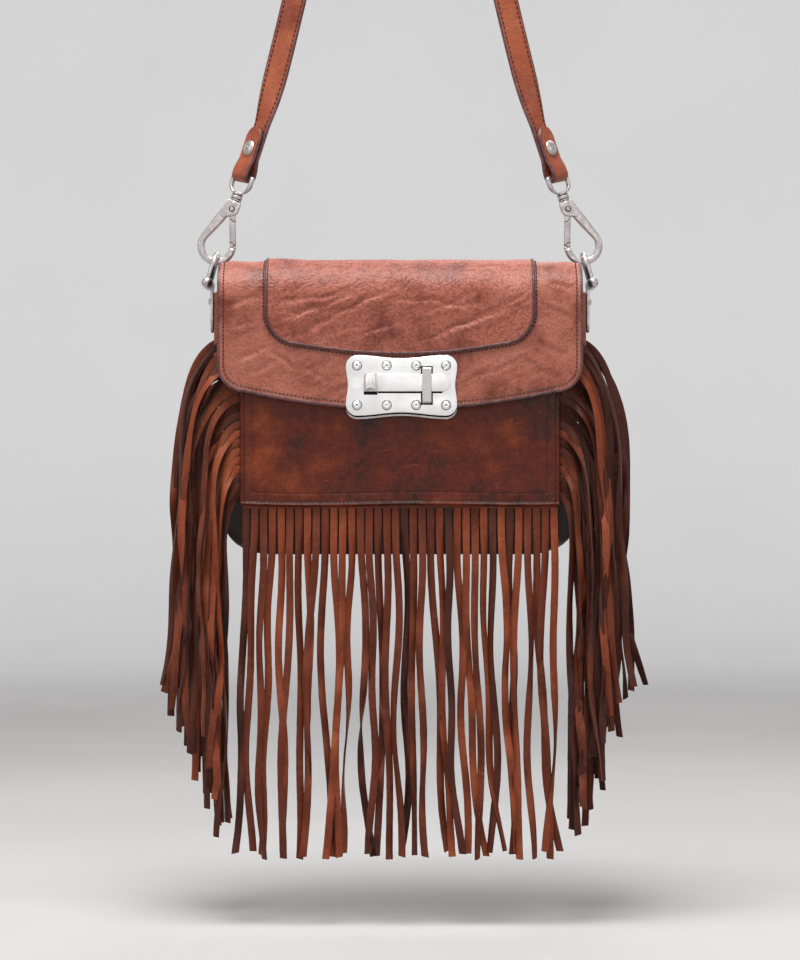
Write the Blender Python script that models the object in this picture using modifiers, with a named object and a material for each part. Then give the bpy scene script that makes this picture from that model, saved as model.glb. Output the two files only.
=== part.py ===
"""Fringed leather shoulder bag: flap with a slide-bolt lock, strap on snap hooks, cut leather fringes.

The bag hangs from the crown of its strap. The origin is the underside of that crown, +Z is up and
the front faces -Y. Sizes are in metres. Bag coordinates are measured from the middle of the depth
(y) and from the top edge (z).
"""
import math
import random

import bmesh
import bpy
from mathutils import Vector

# General sizes
GAP = 0.0003                 # clearance between pieces that touch
LEATHER = 0.002              # panels and gusset
STRIP_LEATHER = 0.0014       # fringe leather
STRAP_DROP = 0.400           # from the strap's crown down to the bag's top edge

# Bag body
BODY_HALF_WIDTH = 0.119      # outside of the gusset at the back
FRONT_HALF_WIDTH = BODY_HALF_WIDTH - 0.013    # outside of the gusset at the front
FLAP_HALF_WIDTH = BODY_HALF_WIDTH + 0.001
BODY_HEIGHT = 0.193
INNER_DEPTH = 0.052          # between the front and back panels
SHOULDER = 0.020             # bend of the back panel over the top
GUSSET_TOP = -0.0145
FRONT_TOP = -0.014
PANEL_MARGIN = 0.001         # panels stand proud of the gusset
FRONT_CORNER = 0.018
BACK_CORNER = 0.024

# Applied front panel
POCKET_HALF_WIDTH = FRONT_HALF_WIDTH - 0.0004
POCKET_BOTTOM = 0.0316 - BODY_HEIGHT
POCKET_TOP = -0.020
POCKET_LEATHER = 0.0018
POCKET_CORNER = 0.004

# Flap
HINGE_Y = 0.008              # fold line of the flap, behind the middle of the bag
FLAP_LEATHER = 0.0024
FLAP_BEND = 0.024
FLAP_DROP = 0.098
FLAP_EDGE_RISE = 0.0115
FLAP_CORNER = 0.018
YOKE_HALF_WIDTH = FLAP_HALF_WIDTH - 0.0334
YOKE_LEATHER = 0.0012
YOKE_DROP = 0.0600
YOKE_EDGE_RISE = 0.0062
YOKE_CORNER = 0.020
YOKE_START = 0.0025          # the yoke begins this far in front of the fold line
PIPING_RADIUS = 0.0011

# Slide-bolt lock
LOCK_X = 0.001
LOCK_Z = -0.082
LOCK_WIDTH = 0.073
LOCK_HEIGHT = 0.0398
LOCK_CORNER = 0.0075
LOCK_WAIST = 0.0022
LOCK_PLATE = 0.0015
BACK_PLATE = 0.0012
BACK_PLATE_DROP = 0.0022     # how far the back plate hangs below the front one
RIVET_COLUMNS = (-0.0292, -0.0097, 0.0097, 0.0292)
RIVET_ROW = 0.0130
RIVET_HEAD = 0.00295
RIVET_SHANK = 0.0012
BOLT_Z = 0.0016              # bolt's centre above the lock's centre
BOLT_HEIGHT = 0.0112
BOLT_THICKNESS = 0.0018
BOLT_RIGHT = 0.0318
BARREL_X = -0.0203
BARREL_RADIUS = 0.0046
BOLT_STANDOFF = 0.0011
BOLT_TRAVEL = 0.018
STEM_X = -0.003
STEM_SIZE = 0.004
FOOT_SIZE = 0.0075
FOOT_THICKNESS = 0.0009
KEEPER_X = 0.0176
KEEPER_WIDTH = 0.006
KEEPER_HEIGHT = 0.0234
KEEPER_THICKNESS = 0.002
MAGNET_RADIUS = 0.007
MAGNET_THICKNESS = 0.001

# Fringes
STRIP_WIDTH = 0.0048
STRIP_PITCH = 0.0058
STRIP_LENGTH = 0.232
SIDE_EXTRA = 0.020           # the highest side strips are this much longer
STRIP_STEPS = 5              # hanging stretches of a straight strip
ARCH_STEPS = 6               # and of one that arches out from a side seam
BOTTOM_STRIPS = int(2 * POCKET_HALF_WIDTH / STRIP_PITCH)
LAYER_PITCH = 0.0024
HEADER_DEPTH = 0.004
SIDE_LEVEL = 0.005           # a side strip stays in its header's plane this far
BOTTOM_LEVEL = 0.004         # and a bottom strip this far
BOTTOM_SETTLE = 0.030        # length over which a bottom strip takes its layer
SIDE_SETTLE = 0.010          # least length over which a side strip takes its layer
ROOT_DROP = 0.001            # the bottom strips start this far below the applied panel
SIDE_FRINGE_TOP = -0.049
SIDE_FRINGE_RISE = 0.0345    # from the bag's lower edge up to the lowest side strip
SIDE_STRIPS = 1 + int((BODY_HEIGHT + SIDE_FRINGE_TOP - SIDE_FRINGE_RISE) / STRIP_PITCH)
SEAM_INSET = 0.002           # the front fringe's seam lies this far inside the front edge
REACH_FRONT_LEFT = (0.049, 0.012)
REACH_FRONT_RIGHT = (0.046, 0.012)
REACH_BACK = (0.039, 0.010)
WAVE_BOTTOM = (0.10, 0.17)   # length of the strips' slow waves
WAVE_SIDE = (0.11, 0.18)

# Side rings
TAB_Y = 0.018                # middle of the side tabs, and the plane in which the strap hangs
TAB_WIDTH = 0.012
TAB_TOP = -0.017
TAB_BOTTOM = -0.075
TAB_LEATHER = 0.0062         # folded, in two layers
RING_PLATE = 0.002
PLATE_BOTTOM = -0.0445
KNUCKLE_RADIUS = 0.0037
KNUCKLE_WIDTH = 0.0118
PIN_Z = -0.0115
PIN_RADIUS = 0.0015
PIN_CLEARANCE = 0.0003
BALL_RADIUS = 0.0036
TAB_RIVET_Z = -0.0235
SHACKLE_WIRE = 0.0020        # radius
SHACKLE_HALF_WIDTH = 0.0082
SHACKLE_EYE = 0.0030         # length of an eye along the pin

# Snap hooks
HOOK_TILT = math.radians(18)
EYE_BAR_X = 0.0135 - BODY_HALF_WIDTH
EYE_BAR_Z = 0.0620
EYE_TURN = math.radians(50)  # turn of the strap's end about the hook's axis
EYE_WIRE = 0.00172           # radius
HOOK_WIRE = 0.0025           # radius
HOOK_LOOP_RADIUS = 0.0107
HOOK_LOOP_X = -0.0026
HOOK_LOOP_Z = -0.0511
HOOK_NOSE = math.radians(3)
HOOK_ARM_LEAVES = math.radians(150)
PIVOT_X = -0.0005
PIVOT_Z = -0.0243
BLOCK_THICKNESS = 0.0062
GATE_THICKNESS = 0.0030
GATE_BAR = 0.0021            # half of the gate's width
GATE_ROOT = 0.0026           # radius of its root
GATE_TIP_X = 0.0080
GATE_TIP_Z = -0.0490
SHOULDER_Z = -0.0170
NECK_RADIUS = 0.0038
STEM_RADIUS = 0.0015

# Strap
STRAP_WIDTH = 0.017
STRAP_THICKNESS = 0.003
TAIL_LENGTH = 0.034
STRAP_RIVET_UP = 0.0185
CROWN_RADIUS = 0.024         # of what the strap hangs over
SNAP_CAP = 0.0053

LEATHER_OUTER = ("outer_leather", "8F4A39", 0.42, 0.0)
LEATHER_GRAINED = ("grained_leather", "A05A48", 0.45, 0.0)
LEATHER_FRONT = ("waxed_leather", "743520", 0.40, 0.0)
LEATHER_BODY = ("body_leather", "4A2317", 0.55, 0.0)
LEATHER_FRINGE = ("fringe_leather", "7A3A24", 0.60, 0.0)
LEATHER_STRAP = ("strap_leather", "96492F", 0.45, 0.0)
LEATHER_PIPING = ("piping_leather", "5E332C", 0.50, 0.0)
NICKEL_ANTIQUE = ("antique_nickel", "ADA5A4", 0.32, 1.0)
NICKEL_SATIN = ("satin_nickel", "D6D2D2", 0.28, 1.0)
STEEL_MAGNET = ("magnet_steel", "8C8A88", 0.40, 1.0)

# Depths of the layers, worked out from the inside to the outside at the front
PANEL_IN = -INNER_DEPTH / 2
PANEL_OUT = PANEL_IN - LEATHER
FRINGE_FRONT_Y = PANEL_OUT - GAP - STRIP_LEATHER / 2
POCKET_Y = FRINGE_FRONT_Y - STRIP_LEATHER / 2 - GAP - POCKET_LEATHER / 2
POCKET_FACE = POCKET_Y - POCKET_LEATHER / 2
MAGNET_FRONT_Y = POCKET_FACE - GAP - MAGNET_THICKNESS / 2
MAGNET_FLAP_Y = MAGNET_FRONT_Y - MAGNET_THICKNESS - GAP
BACK_PLATE_Y = MAGNET_FLAP_Y - MAGNET_THICKNESS / 2 - GAP - BACK_PLATE / 2
FLAP_IN = BACK_PLATE_Y - BACK_PLATE / 2 - GAP
FLAP_OUT = FLAP_IN - FLAP_LEATHER
LOCK_PLATE_Y = FLAP_OUT - GAP - LOCK_PLATE / 2
LOCK_FACE = LOCK_PLATE_Y - LOCK_PLATE / 2
BOLT_BACK = LOCK_FACE - BOLT_STANDOFF
BOLT_FACE = BOLT_BACK - BOLT_THICKNESS
FLAP_LEVEL = HINGE_Y - FLAP_OUT - FLAP_BEND
FRINGE_BACK_Y = -PANEL_IN - GAP - STRIP_LEATHER / 2
GUSSET_BACK = FRINGE_BACK_Y - STRIP_LEATHER / 2 - GAP
GUSSET_FRONT = PANEL_IN + GAP


def srgb(code):
    """Linear colour of an sRGB hex code."""
    values = [int(code[i:i + 2], 16) / 255 for i in (0, 2, 4)]
    linear = [v / 12.92 if v <= 0.04045 else ((v + 0.055) / 1.055) ** 2.4 for v in values]
    return linear + [1.0]


def material(recipe):
    """Material of a named finish, made the first time it is asked for."""
    name, colour, roughness, metallic = recipe
    found = bpy.data.materials.get(name)
    if found:
        return found
    made = bpy.data.materials.new(name)
    made.use_nodes = True
    shader = made.node_tree.nodes["Principled BSDF"]
    shader.inputs["Base Color"].default_value = srgb(colour)
    shader.inputs["Roughness"].default_value = roughness
    shader.inputs["Metallic"].default_value = metallic
    made.diffuse_color = srgb(colour)
    return made


def collection(name):
    made = bpy.data.collections.new(name)
    bpy.context.scene.collection.children.link(made)
    return made


def empty(name, location, parent=None, rotation=(0, 0, 0)):
    """Frame that carries pieces and stands on their joint's axis."""
    made = bpy.data.objects.new(name, None)
    made.empty_display_size = 0.01
    made.location = location
    made.rotation_euler = rotation
    made.parent = parent
    PARTS.objects.link(made)
    return made


def place(obj, finish, parent, location=(0, 0, 0), rotation=(0, 0, 0)):
    """Put a piece in its frame, or a cutter (no finish) in the cutters' collection."""
    obj.location = location
    obj.rotation_euler = rotation
    obj.parent = parent
    if finish:
        PARTS.objects.link(obj)
        obj.data.materials.append(material(finish))
    else:
        CUTTERS.objects.link(obj)
        obj.hide_render = True
        obj.display_type = "WIRE"
    return obj


def mesh_object(name, bm):
    mesh = bpy.data.meshes.new(name)
    bm.to_mesh(mesh)
    bm.free()
    return bpy.data.objects.new(name, mesh)


def cylinder(name, radius, length, axis="Z", sides=20, at=(0, 0, 0)):
    """Cylinder centred on a point of its frame."""
    bm = bmesh.new()
    bmesh.ops.create_cone(bm, cap_ends=True, segments=sides, radius1=radius, radius2=radius, depth=length)
    turn = {"X": Vector((1, 0, 0)), "Y": Vector((0, 1, 0)), "Z": Vector((0, 0, 1))}[axis]
    bmesh.ops.rotate(bm, verts=bm.verts, matrix=turn.to_track_quat("Z", "Y").to_matrix())
    bmesh.ops.translate(bm, verts=bm.verts, vec=at)
    obj = mesh_object(name, bm)
    obj.data.shade_smooth()
    obj.data.set_sharp_from_angle(angle=math.radians(40))
    return obj


def box(name, size, at=(0, 0, 0)):
    bm = bmesh.new()
    bmesh.ops.create_cube(bm, size=1)
    bmesh.ops.scale(bm, verts=bm.verts, vec=size)
    bmesh.ops.translate(bm, verts=bm.verts, vec=at)
    return mesh_object(name, bm)


def flat_outline(name, loops, thickness):
    """Sheet cut to closed outlines: the first is its edge and the others are holes."""
    curve = bpy.data.curves.new(name, "CURVE")
    curve.dimensions = "2D"
    curve.fill_mode = "BOTH"
    curve.extrude = thickness / 2
    for loop in loops:
        spline = curve.splines.new("POLY")
        spline.points.add(len(loop) - 1)
        for point, (x, y) in zip(spline.points, loop):
            point.co = (x, y, 0, 1)
        spline.use_cyclic_u = True
    return bpy.data.objects.new(name, curve)


def wire(name, points, radius, cyclic=False, resolution=2):
    """Round wire along a line of points."""
    curve = bpy.data.curves.new(name, "CURVE")
    curve.dimensions = "3D"
    curve.bevel_depth = radius
    curve.bevel_resolution = resolution
    curve.use_fill_caps = not cyclic
    spline = curve.splines.new("POLY")
    spline.points.add(len(points) - 1)
    for point, co in zip(spline.points, points):
        point.co = (*co, 1)
    spline.use_cyclic_u = cyclic
    return bpy.data.objects.new(name, curve)


def as_mesh(obj):
    """Welded mesh object in place of a curve object that was put in its frame."""
    bpy.context.view_layer.update()
    evaluated = obj.evaluated_get(bpy.context.evaluated_depsgraph_get())
    bm = bmesh.new()
    bm.from_mesh(bpy.data.meshes.new_from_object(evaluated))
    bmesh.ops.remove_doubles(bm, verts=bm.verts, dist=1e-6)
    bmesh.ops.recalc_face_normals(bm, faces=bm.faces)
    name = obj.name
    parent, location, rotation = obj.parent, obj.location.copy(), obj.rotation_euler.copy()
    homes = list(obj.users_collection)
    finishes = [slot.material for slot in obj.material_slots]
    bpy.data.objects.remove(obj)
    made = mesh_object(name, bm)
    made.data.materials.clear()
    for finish in finishes:
        made.data.materials.append(finish)
    made.parent, made.location, made.rotation_euler = parent, location, rotation
    for home in homes:
        home.objects.link(made)
        made.hide_render = home is CUTTERS
        made.display_type = "WIRE" if home is CUTTERS else "TEXTURED"
    return made


def boolean(obj, operation, tool):
    modifier = obj.modifiers.new(operation.lower() + "_" + tool.name, "BOOLEAN")
    modifier.operation = operation
    modifier.object = tool


def grid_sheet(name, grid, inside, thickness, offset=-1.0):
    """Sheet of leather over a grid of points, with its thickness towards a point inside."""
    bm = bmesh.new()
    rows = [[bm.verts.new(point) for point in row] for row in grid]
    for upper, lower in zip(rows, rows[1:]):
        for i in range(len(upper) - 1):
            bm.faces.new((upper[i], upper[i + 1], lower[i + 1], lower[i]))
    bm.normal_update()
    bm.faces.ensure_lookup_table()
    middle = bm.faces[len(bm.faces) // 2]
    if middle.normal.dot(middle.calc_center_median() - Vector(inside)) < 0:
        bmesh.ops.reverse_faces(bm, faces=bm.faces)
    obj = mesh_object(name, bm)
    obj.data.shade_smooth()
    obj.data.set_sharp_from_angle(angle=math.radians(40))
    modifier = obj.modifiers.new("leather", "SOLIDIFY")
    modifier.thickness = thickness
    modifier.offset = offset
    return obj


def mirrored(name, source, finish, origin):
    """Copy of a finished piece on the other side of the bag, with its origin at a given point."""
    bpy.context.view_layer.update()
    evaluated = source.evaluated_get(bpy.context.evaluated_depsgraph_get())
    bm = bmesh.new()
    bm.from_mesh(bpy.data.meshes.new_from_object(evaluated))
    bmesh.ops.remove_doubles(bm, verts=bm.verts, dist=1e-6)
    bm.transform(source.matrix_world)
    for vert in bm.verts:
        vert.co = Vector((-vert.co.x, vert.co.y, vert.co.z)) - Vector(origin)
    bmesh.ops.reverse_faces(bm, faces=bm.faces)
    obj = mesh_object(name, bm)
    obj.data.materials.clear()
    return place(obj, finish, None, origin)


def arc(cx, cy, radius, start, end, steps):
    """Points on an arc, with angles in degrees."""
    turn = [math.radians(start + (end - start) * k / steps) for k in range(steps + 1)]
    return [(cx + radius * math.cos(a), cy + radius * math.sin(a)) for a in turn]


def circle(cx, cy, radius, sides=8):
    return arc(cx, cy, radius, 0, 360 - 360 / sides, sides - 1)


def u_outline(half_width, top, bottom, corner, steps=5):
    """Open outline of a panel: down the left side, along the bottom and up the right side."""
    left = arc(-half_width + corner, bottom + corner, corner, 180, 270, steps)
    right = arc(half_width - corner, bottom + corner, corner, 270, 360, steps)
    return [(-half_width, top)] + left + right + [(half_width, top)]


def lower_edge(x, half_width, corner, drop, rise):
    """Height of a sheet's lower edge: a shallow curve between two round corners."""
    straight = half_width - corner
    inner = min(abs(x), straight)
    outer = abs(x) - inner
    curve = -drop + rise * (inner / straight) ** 2
    return curve + corner - math.sqrt(max(corner**2 - outer**2, 0.0))


def columns(half_width, corner, inner_steps, corner_steps=4):
    """Positions across a sheet, closer together at its round corners."""
    straight = half_width - corner
    inner = [straight * (2 * i / inner_steps - 1) for i in range(inner_steps + 1)]
    turn = [math.sin(math.pi / 2 * (k + 1) / corner_steps) for k in range(corner_steps)]
    side = [straight + corner * t for t in turn]
    return [-x for x in reversed(side)] + inner + side


def fold(distance, level, bend, lift=0.0):
    """Point (forward, up) on a sheet that runs level, turns down round a bend and hangs.

    The lift is measured outwards from the sheet's outer face.
    """
    quarter = bend * math.pi / 2
    if distance < level:
        return distance, lift
    if distance < level + quarter:
        a = (distance - level) / bend
        return level + (bend + lift) * math.sin(a), (bend + lift) * math.cos(a) - bend
    return level + bend + lift, level + quarter - bend - distance


def fold_length(height, level, bend):
    """Distance along such a sheet to a height on its hanging part."""
    return level + bend * math.pi / 2 - bend - height


def folded_grid(xs, edge, start, level, bend, direction, lift=0.0, bend_steps=6, drop_steps=3):
    """Grid of points of a folded sheet whose lower edge follows the function edge(x)."""
    quarter = bend * math.pi / 2
    fixed = [start] + ([level] if level > start else [])
    fixed += [level + quarter * k / bend_steps for k in range(1, bend_steps + 1)]
    hanging = fixed[-1]
    grid = []
    for distance in fixed:
        forward, up = fold(distance, level, bend, lift)
        grid.append([(x, direction * forward, up) for x in xs])
    for k in range(1, drop_steps + 1):
        row = []
        for x in xs:
            end = fold_length(edge(x), level, bend)
            forward, up = fold(hanging + (end - hanging) * k / drop_steps, level, bend, lift)
            row.append((x, direction * forward, up))
        grid.append(row)
    return grid


def turned(name, profile, steps=10):
    """Solid turned about its own Z axis from a profile that runs down its outer side."""
    bm = bmesh.new()
    verts = [bm.verts.new((r, 0, z)) for r, z in profile]
    for a, b in zip(verts, verts[1:]):
        bm.edges.new((a, b))
    obj = mesh_object(name, bm)
    screw = obj.modifiers.new("turn", "SCREW")
    screw.steps = steps
    screw.render_steps = steps
    screw.use_merge_vertices = True
    screw.merge_threshold = 1e-6
    screw.use_smooth_shade = True
    return obj


def make_back_panel():
    """Back panel, bent over the top of the bag up to the flap's fold line."""
    half = BODY_HALF_WIDTH
    outer = -PANEL_IN + LEATHER
    level = outer - SHOULDER - HINGE_Y
    grid = folded_grid(
        columns(half, BACK_CORNER, 4),
        lambda x: lower_edge(x, half, BACK_CORNER, BODY_HEIGHT, 0.0),
        GAP, level, SHOULDER, 1)
    obj = grid_sheet("back_panel", grid, (0, -0.05, -0.1), LEATHER)
    place(obj, LEATHER_BODY, BAG, (0, HINGE_Y, 0))


def make_front_panel():
    half = FRONT_HALF_WIDTH + PANEL_MARGIN
    outline = u_outline(half, FRONT_TOP, -BODY_HEIGHT, FRONT_CORNER + PANEL_MARGIN)
    obj = flat_outline("front_panel", [outline], LEATHER)
    place(obj, LEATHER_BODY, BAG, (0, PANEL_IN - LEATHER / 2, 0), UPRIGHT)


def gusset_half_width(y):
    """Half-width of the body: full at the back, drawn in towards the front seam."""
    t = min(max((0.004 - y) / (0.004 - GUSSET_FRONT), 0.0), 1.0)
    return BODY_HALF_WIDTH + (FRONT_HALF_WIDTH - BODY_HALF_WIDTH) * t * t * (3 - 2 * t)


def make_gusset():
    """One strip of leather down one side, along the bottom and up the other side."""
    grid = []
    stations = [GUSSET_BACK, 0.004, -0.004, -0.011, -0.018, GUSSET_FRONT]
    for y in stations:
        half = gusset_half_width(y)
        share = (half - FRONT_HALF_WIDTH) / (BODY_HALF_WIDTH - FRONT_HALF_WIDTH)
        corner = FRONT_CORNER + (BACK_CORNER - FRONT_CORNER) * share
        line = u_outline(half, GUSSET_TOP, -BODY_HEIGHT + PANEL_MARGIN, corner)
        grid.append([(x, y, z) for x, z in line])
    obj = grid_sheet("gusset", grid, (0, 0, -0.1), LEATHER)
    place(obj, LEATHER_BODY, BAG)
    for side in (-1, 1):
        at = (side * BODY_HALF_WIDTH, TAB_Y, TAB_RIVET_Z)
        hole = cylinder("gusset_hole", RIVET_SHANK + GAP, 0.02, "X", at=at)
        boolean(obj, "DIFFERENCE", place(hole, None, BAG))


def make_pocket_panel():
    """Applied front panel that covers the root of the front fringe."""
    outline = u_outline(POCKET_HALF_WIDTH, POCKET_TOP, POCKET_BOTTOM, POCKET_CORNER, 4)
    obj = flat_outline("pocket_panel", [outline], POCKET_LEATHER)
    place(obj, LEATHER_FRONT, BAG, (0, POCKET_Y, 0), UPRIGHT)


def comb(name, strips, y, finish=LEATHER_FRINGE):
    """Fringe cut from one strip of leather: a header, and strips that hang from its edge.

    Each strip is a list of sections (left, right), and its first section lies on the header's edge.
    """
    bm = bmesh.new()
    edge = []
    for roots, sections in strips:
        inner = [bm.verts.new(point) for point in roots]
        last = None
        for section in sections:
            pair = [bm.verts.new(point) for point in section]
            if last:
                bm.faces.new((last[0], last[1], pair[1], pair[0]))
            else:
                bm.faces.new((inner[0], inner[1], pair[1], pair[0]))
                edge.append((inner, pair))
            last = pair
    for (inner_a, edge_a), (inner_b, edge_b) in zip(edge, edge[1:]):
        bm.faces.new((inner_a[1], inner_b[0], edge_b[0], edge_a[1]))
    obj = mesh_object(name, bm)
    modifier = obj.modifiers.new("leather", "SOLIDIFY")
    modifier.thickness = STRIP_LEATHER
    modifier.offset = 0.0
    obj.modifiers.new("flat_faces", "TRIANGULATE")
    return place(obj, finish, BAG, (0, y, 0))


def smooth(t):
    t = min(max(t, 0.0), 1.0)
    return t * t * (3 - 2 * t)


def strip_lengths(length, level, spread, steps):
    """Distances of a strip's sections. The first stretch stays in the header's plane."""
    return [0.0] + [level + (length - level) * (k / steps) ** spread for k in range(steps + 1)]


def strip_sections(start, across, heading_at, lengths, depth, settle, twist):
    """Sections of one strip. It leaves its root edge and hangs in its own layer.

    heading_at(s) is the strip's direction in the bag's front plane, in radians below +X.
    """
    half = STRIP_WIDTH / 2
    x, z = start
    sections = [((x - across[0] * half, 0, z - across[1] * half),
                 (x + across[0] * half, 0, z + across[1] * half))]
    last = Vector((across[0], 0, across[1]))
    travelled = 0.0
    fine = 6
    for length in lengths[1:]:
        step = (length - travelled) / fine
        for _ in range(fine):
            heading = heading_at(travelled + step / 2)
            x += step * math.cos(heading)
            z -= step * math.sin(heading)
            travelled += step
        heading = heading_at(travelled)
        y = depth * smooth((travelled - lengths[1]) / settle)
        turn = twist * smooth((travelled - settle) / (0.6 * STRIP_LENGTH))
        flat = math.cos(turn)
        wide = Vector((math.sin(heading) * flat, math.sin(turn), math.cos(heading) * flat))
        if wide.dot(last) < 0:
            wide = -wide
        last = wide
        centre = Vector((x, y, z))
        sections.append((tuple(centre - wide * half), tuple(centre + wide * half)))
    return sections


def make_bottom_fringe(rng):
    """Front fringe along the lower edge of the applied panel."""
    strips = []
    first = -STRIP_PITCH * (BOTTOM_STRIPS - 1) / 2
    edge = POCKET_BOTTOM - ROOT_DROP
    half = STRIP_WIDTH / 2
    for i in range(BOTTOM_STRIPS):
        x = first + i * STRIP_PITCH
        roots = [(x - half, 0, edge + HEADER_DEPTH), (x + half, 0, edge + HEADER_DEPTH)]
        length = STRIP_LENGTH * rng.uniform(0.975, 1.0)
        lean = rng.uniform(-0.02, 0.02) - 0.02 * x / POCKET_HALF_WIDTH
        wave = rng.uniform(0.02, 0.055)
        period = rng.uniform(*WAVE_BOTTOM)
        phase = rng.uniform(0, 2 * math.pi)

        def heading_at(s, lean=lean, wave=wave, period=period, phase=phase):
            ramp = smooth(s / (0.2 * STRIP_LENGTH))
            return math.pi / 2 + ramp * (lean + wave * math.sin(2 * math.pi * s / period + phase))

        lengths = strip_lengths(length, BOTTOM_LEVEL, 1.0, STRIP_STEPS - 1)
        depth = -LAYER_PITCH * (i % 3)
        twist = rng.uniform(-0.2, 0.2)
        sections = strip_sections((x, edge), (1, 0), heading_at, lengths, depth, BOTTOM_SETTLE, twist)
        strips.append((roots, sections))
    comb("front_fringe_bottom", strips, FRINGE_FRONT_Y)


def make_side_fringe(name, side, y, root_x, reach, layers, rng):
    """Fringe along a side seam: strips that leave it level, arch outwards and hang.

    reach gives how far the top and the lowest strip stand out from the seam.
    """
    strips = []
    for i in range(SIDE_STRIPS):
        share = i / (SIDE_STRIPS - 1)
        z = SIDE_FRINGE_TOP - i * STRIP_PITCH
        out = reach[0] + (reach[1] - reach[0]) * share ** 0.9
        turn = out / 1.3708
        length = STRIP_LENGTH * rng.uniform(0.95, 1.0) + SIDE_EXTRA * (1 - share)
        wave = rng.uniform(0.01, 0.035)
        period = rng.uniform(*WAVE_SIDE)
        phase = rng.uniform(0, 2 * math.pi)

        def heading_at(s, turn=turn, wave=wave, period=period, phase=phase):
            down = math.pi / 2 * (1 - math.exp(-s / turn))
            sway = smooth(s / (0.25 * STRIP_LENGTH)) * wave * math.sin(2 * math.pi * s / period + phase)
            return down + sway if side > 0 else math.pi - down - sway

        half = STRIP_WIDTH / 2
        inner = side * (root_x - HEADER_DEPTH)
        roots = [(inner, 0, z + half), (inner, 0, z - half)]
        lengths = strip_lengths(length, SIDE_LEVEL, 1.4, ARCH_STEPS - 1)
        depth = layers[i % len(layers)] * LAYER_PITCH
        twist = rng.uniform(-0.15, 0.15)
        settle = SIDE_SETTLE + 0.5 * turn
        sections = strip_sections((side * root_x, z), (0, -1), heading_at, lengths, depth, settle, twist)
        strips.append((roots, sections))
    comb(name, strips, y)


def make_flap():
    """Front flap, folded at the top edge. It turns about its fold line with all that it carries."""
    level = FLAP_LEVEL
    grid = folded_grid(
        columns(FLAP_HALF_WIDTH, FLAP_CORNER, 6),
        lambda x: lower_edge(x, FLAP_HALF_WIDTH, FLAP_CORNER, FLAP_DROP, FLAP_EDGE_RISE),
        GAP, level, FLAP_BEND, -1)
    obj = grid_sheet("flap", grid, (0, -0.02, -0.05), FLAP_LEATHER)
    place(obj, LEATHER_OUTER, FLAP)
    holes = bmesh.new()
    for x, z in rivet_places():
        made = bmesh.ops.create_cone(
            holes, cap_ends=True, segments=8, radius1=RIVET_SHANK + GAP, radius2=RIVET_SHANK + GAP, depth=0.02)
        turn = Vector((0, 1, 0)).to_track_quat("Z", "Y").to_matrix()
        bmesh.ops.rotate(holes, verts=made["verts"], matrix=turn)
        bmesh.ops.translate(holes, verts=made["verts"], vec=(x, FLAP_OUT - HINGE_Y, z))
    boolean(obj, "DIFFERENCE", place(mesh_object("flap_rivet_holes", holes), None, FLAP))
    window = (FOOT_SIZE + BOLT_TRAVEL + 0.002, 0.02, FOOT_SIZE + 0.0015)
    middle = (LOCK_X + STEM_X - BOLT_TRAVEL / 2, FLAP_OUT - HINGE_Y, LOCK_Z + BOLT_Z)
    boolean(obj, "DIFFERENCE", place(box("flap_window", window, middle), None, FLAP))


def make_yoke():
    """Grained panel stitched on the flap, and the folded piping round its edge."""
    lift = GAP + YOKE_LEATHER
    grid = folded_grid(
        columns(YOKE_HALF_WIDTH, YOKE_CORNER, 6),
        lambda x: lower_edge(x, YOKE_HALF_WIDTH, YOKE_CORNER, YOKE_DROP, YOKE_EDGE_RISE),
        YOKE_START, FLAP_LEVEL, FLAP_BEND, -1, lift, 6, 2)
    obj = grid_sheet("flap_yoke", grid, (0, -0.02, -0.05), YOKE_LEATHER)
    place(obj, LEATHER_GRAINED, FLAP)

    clear = PIPING_RADIUS + GAP
    half = YOKE_HALF_WIDTH + clear
    corner = YOKE_CORNER + clear
    side_end = fold_length(
        lower_edge(half, half, corner, YOKE_DROP + clear, YOKE_EDGE_RISE), FLAP_LEVEL, FLAP_BEND)
    side = [YOKE_START + (side_end - YOKE_START) * k / 11 for k in range(11)]
    path = [(-half, s) for s in side]
    for x in columns(half, corner, 6, 4):
        height = lower_edge(x, half, corner, YOKE_DROP + clear, YOKE_EDGE_RISE)
        path.append((x, fold_length(height, FLAP_LEVEL, FLAP_BEND)))
    path += [(half, s) for s in reversed(side)]
    points = []
    for x, s in path:
        forward, up = fold(s, FLAP_LEVEL, FLAP_BEND, clear)
        points.append((x, -forward, up))
    place(wire("flap_piping", points, PIPING_RADIUS, resolution=1), LEATHER_PIPING, FLAP)


def rivet_places():
    """Centres of the lock's eight rivets, in the flap's frame."""
    rows = (LOCK_Z + RIVET_ROW, LOCK_Z - RIVET_ROW)
    return [(LOCK_X + x, z) for z in rows for x in RIVET_COLUMNS]


def lock_outline(height):
    """Plate with round corners and sides that bow inwards."""
    a = LOCK_WIDTH / 2
    b = height / 2
    r = LOCK_CORNER
    points = []
    corners = ((1, 1, 0), (-1, 1, 90), (-1, -1, 180), (1, -1, 270))
    for sx, sy, start in corners:
        points += arc(sx * (a - r), sy * (b - r), r, start, start + 90, 4)
        for k in range(1, 6):
            t = k / 6
            bow = LOCK_WAIST * math.sin(math.pi * t) ** 2
            if start in (0, 180):
                points.append((sx * (a - r) * (1 - 2 * t), sy * (b - bow)))
            else:
                points.append((sx * (a - 0.6 * bow), sy * (b - r) * (1 - 2 * t)))
    return points


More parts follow.
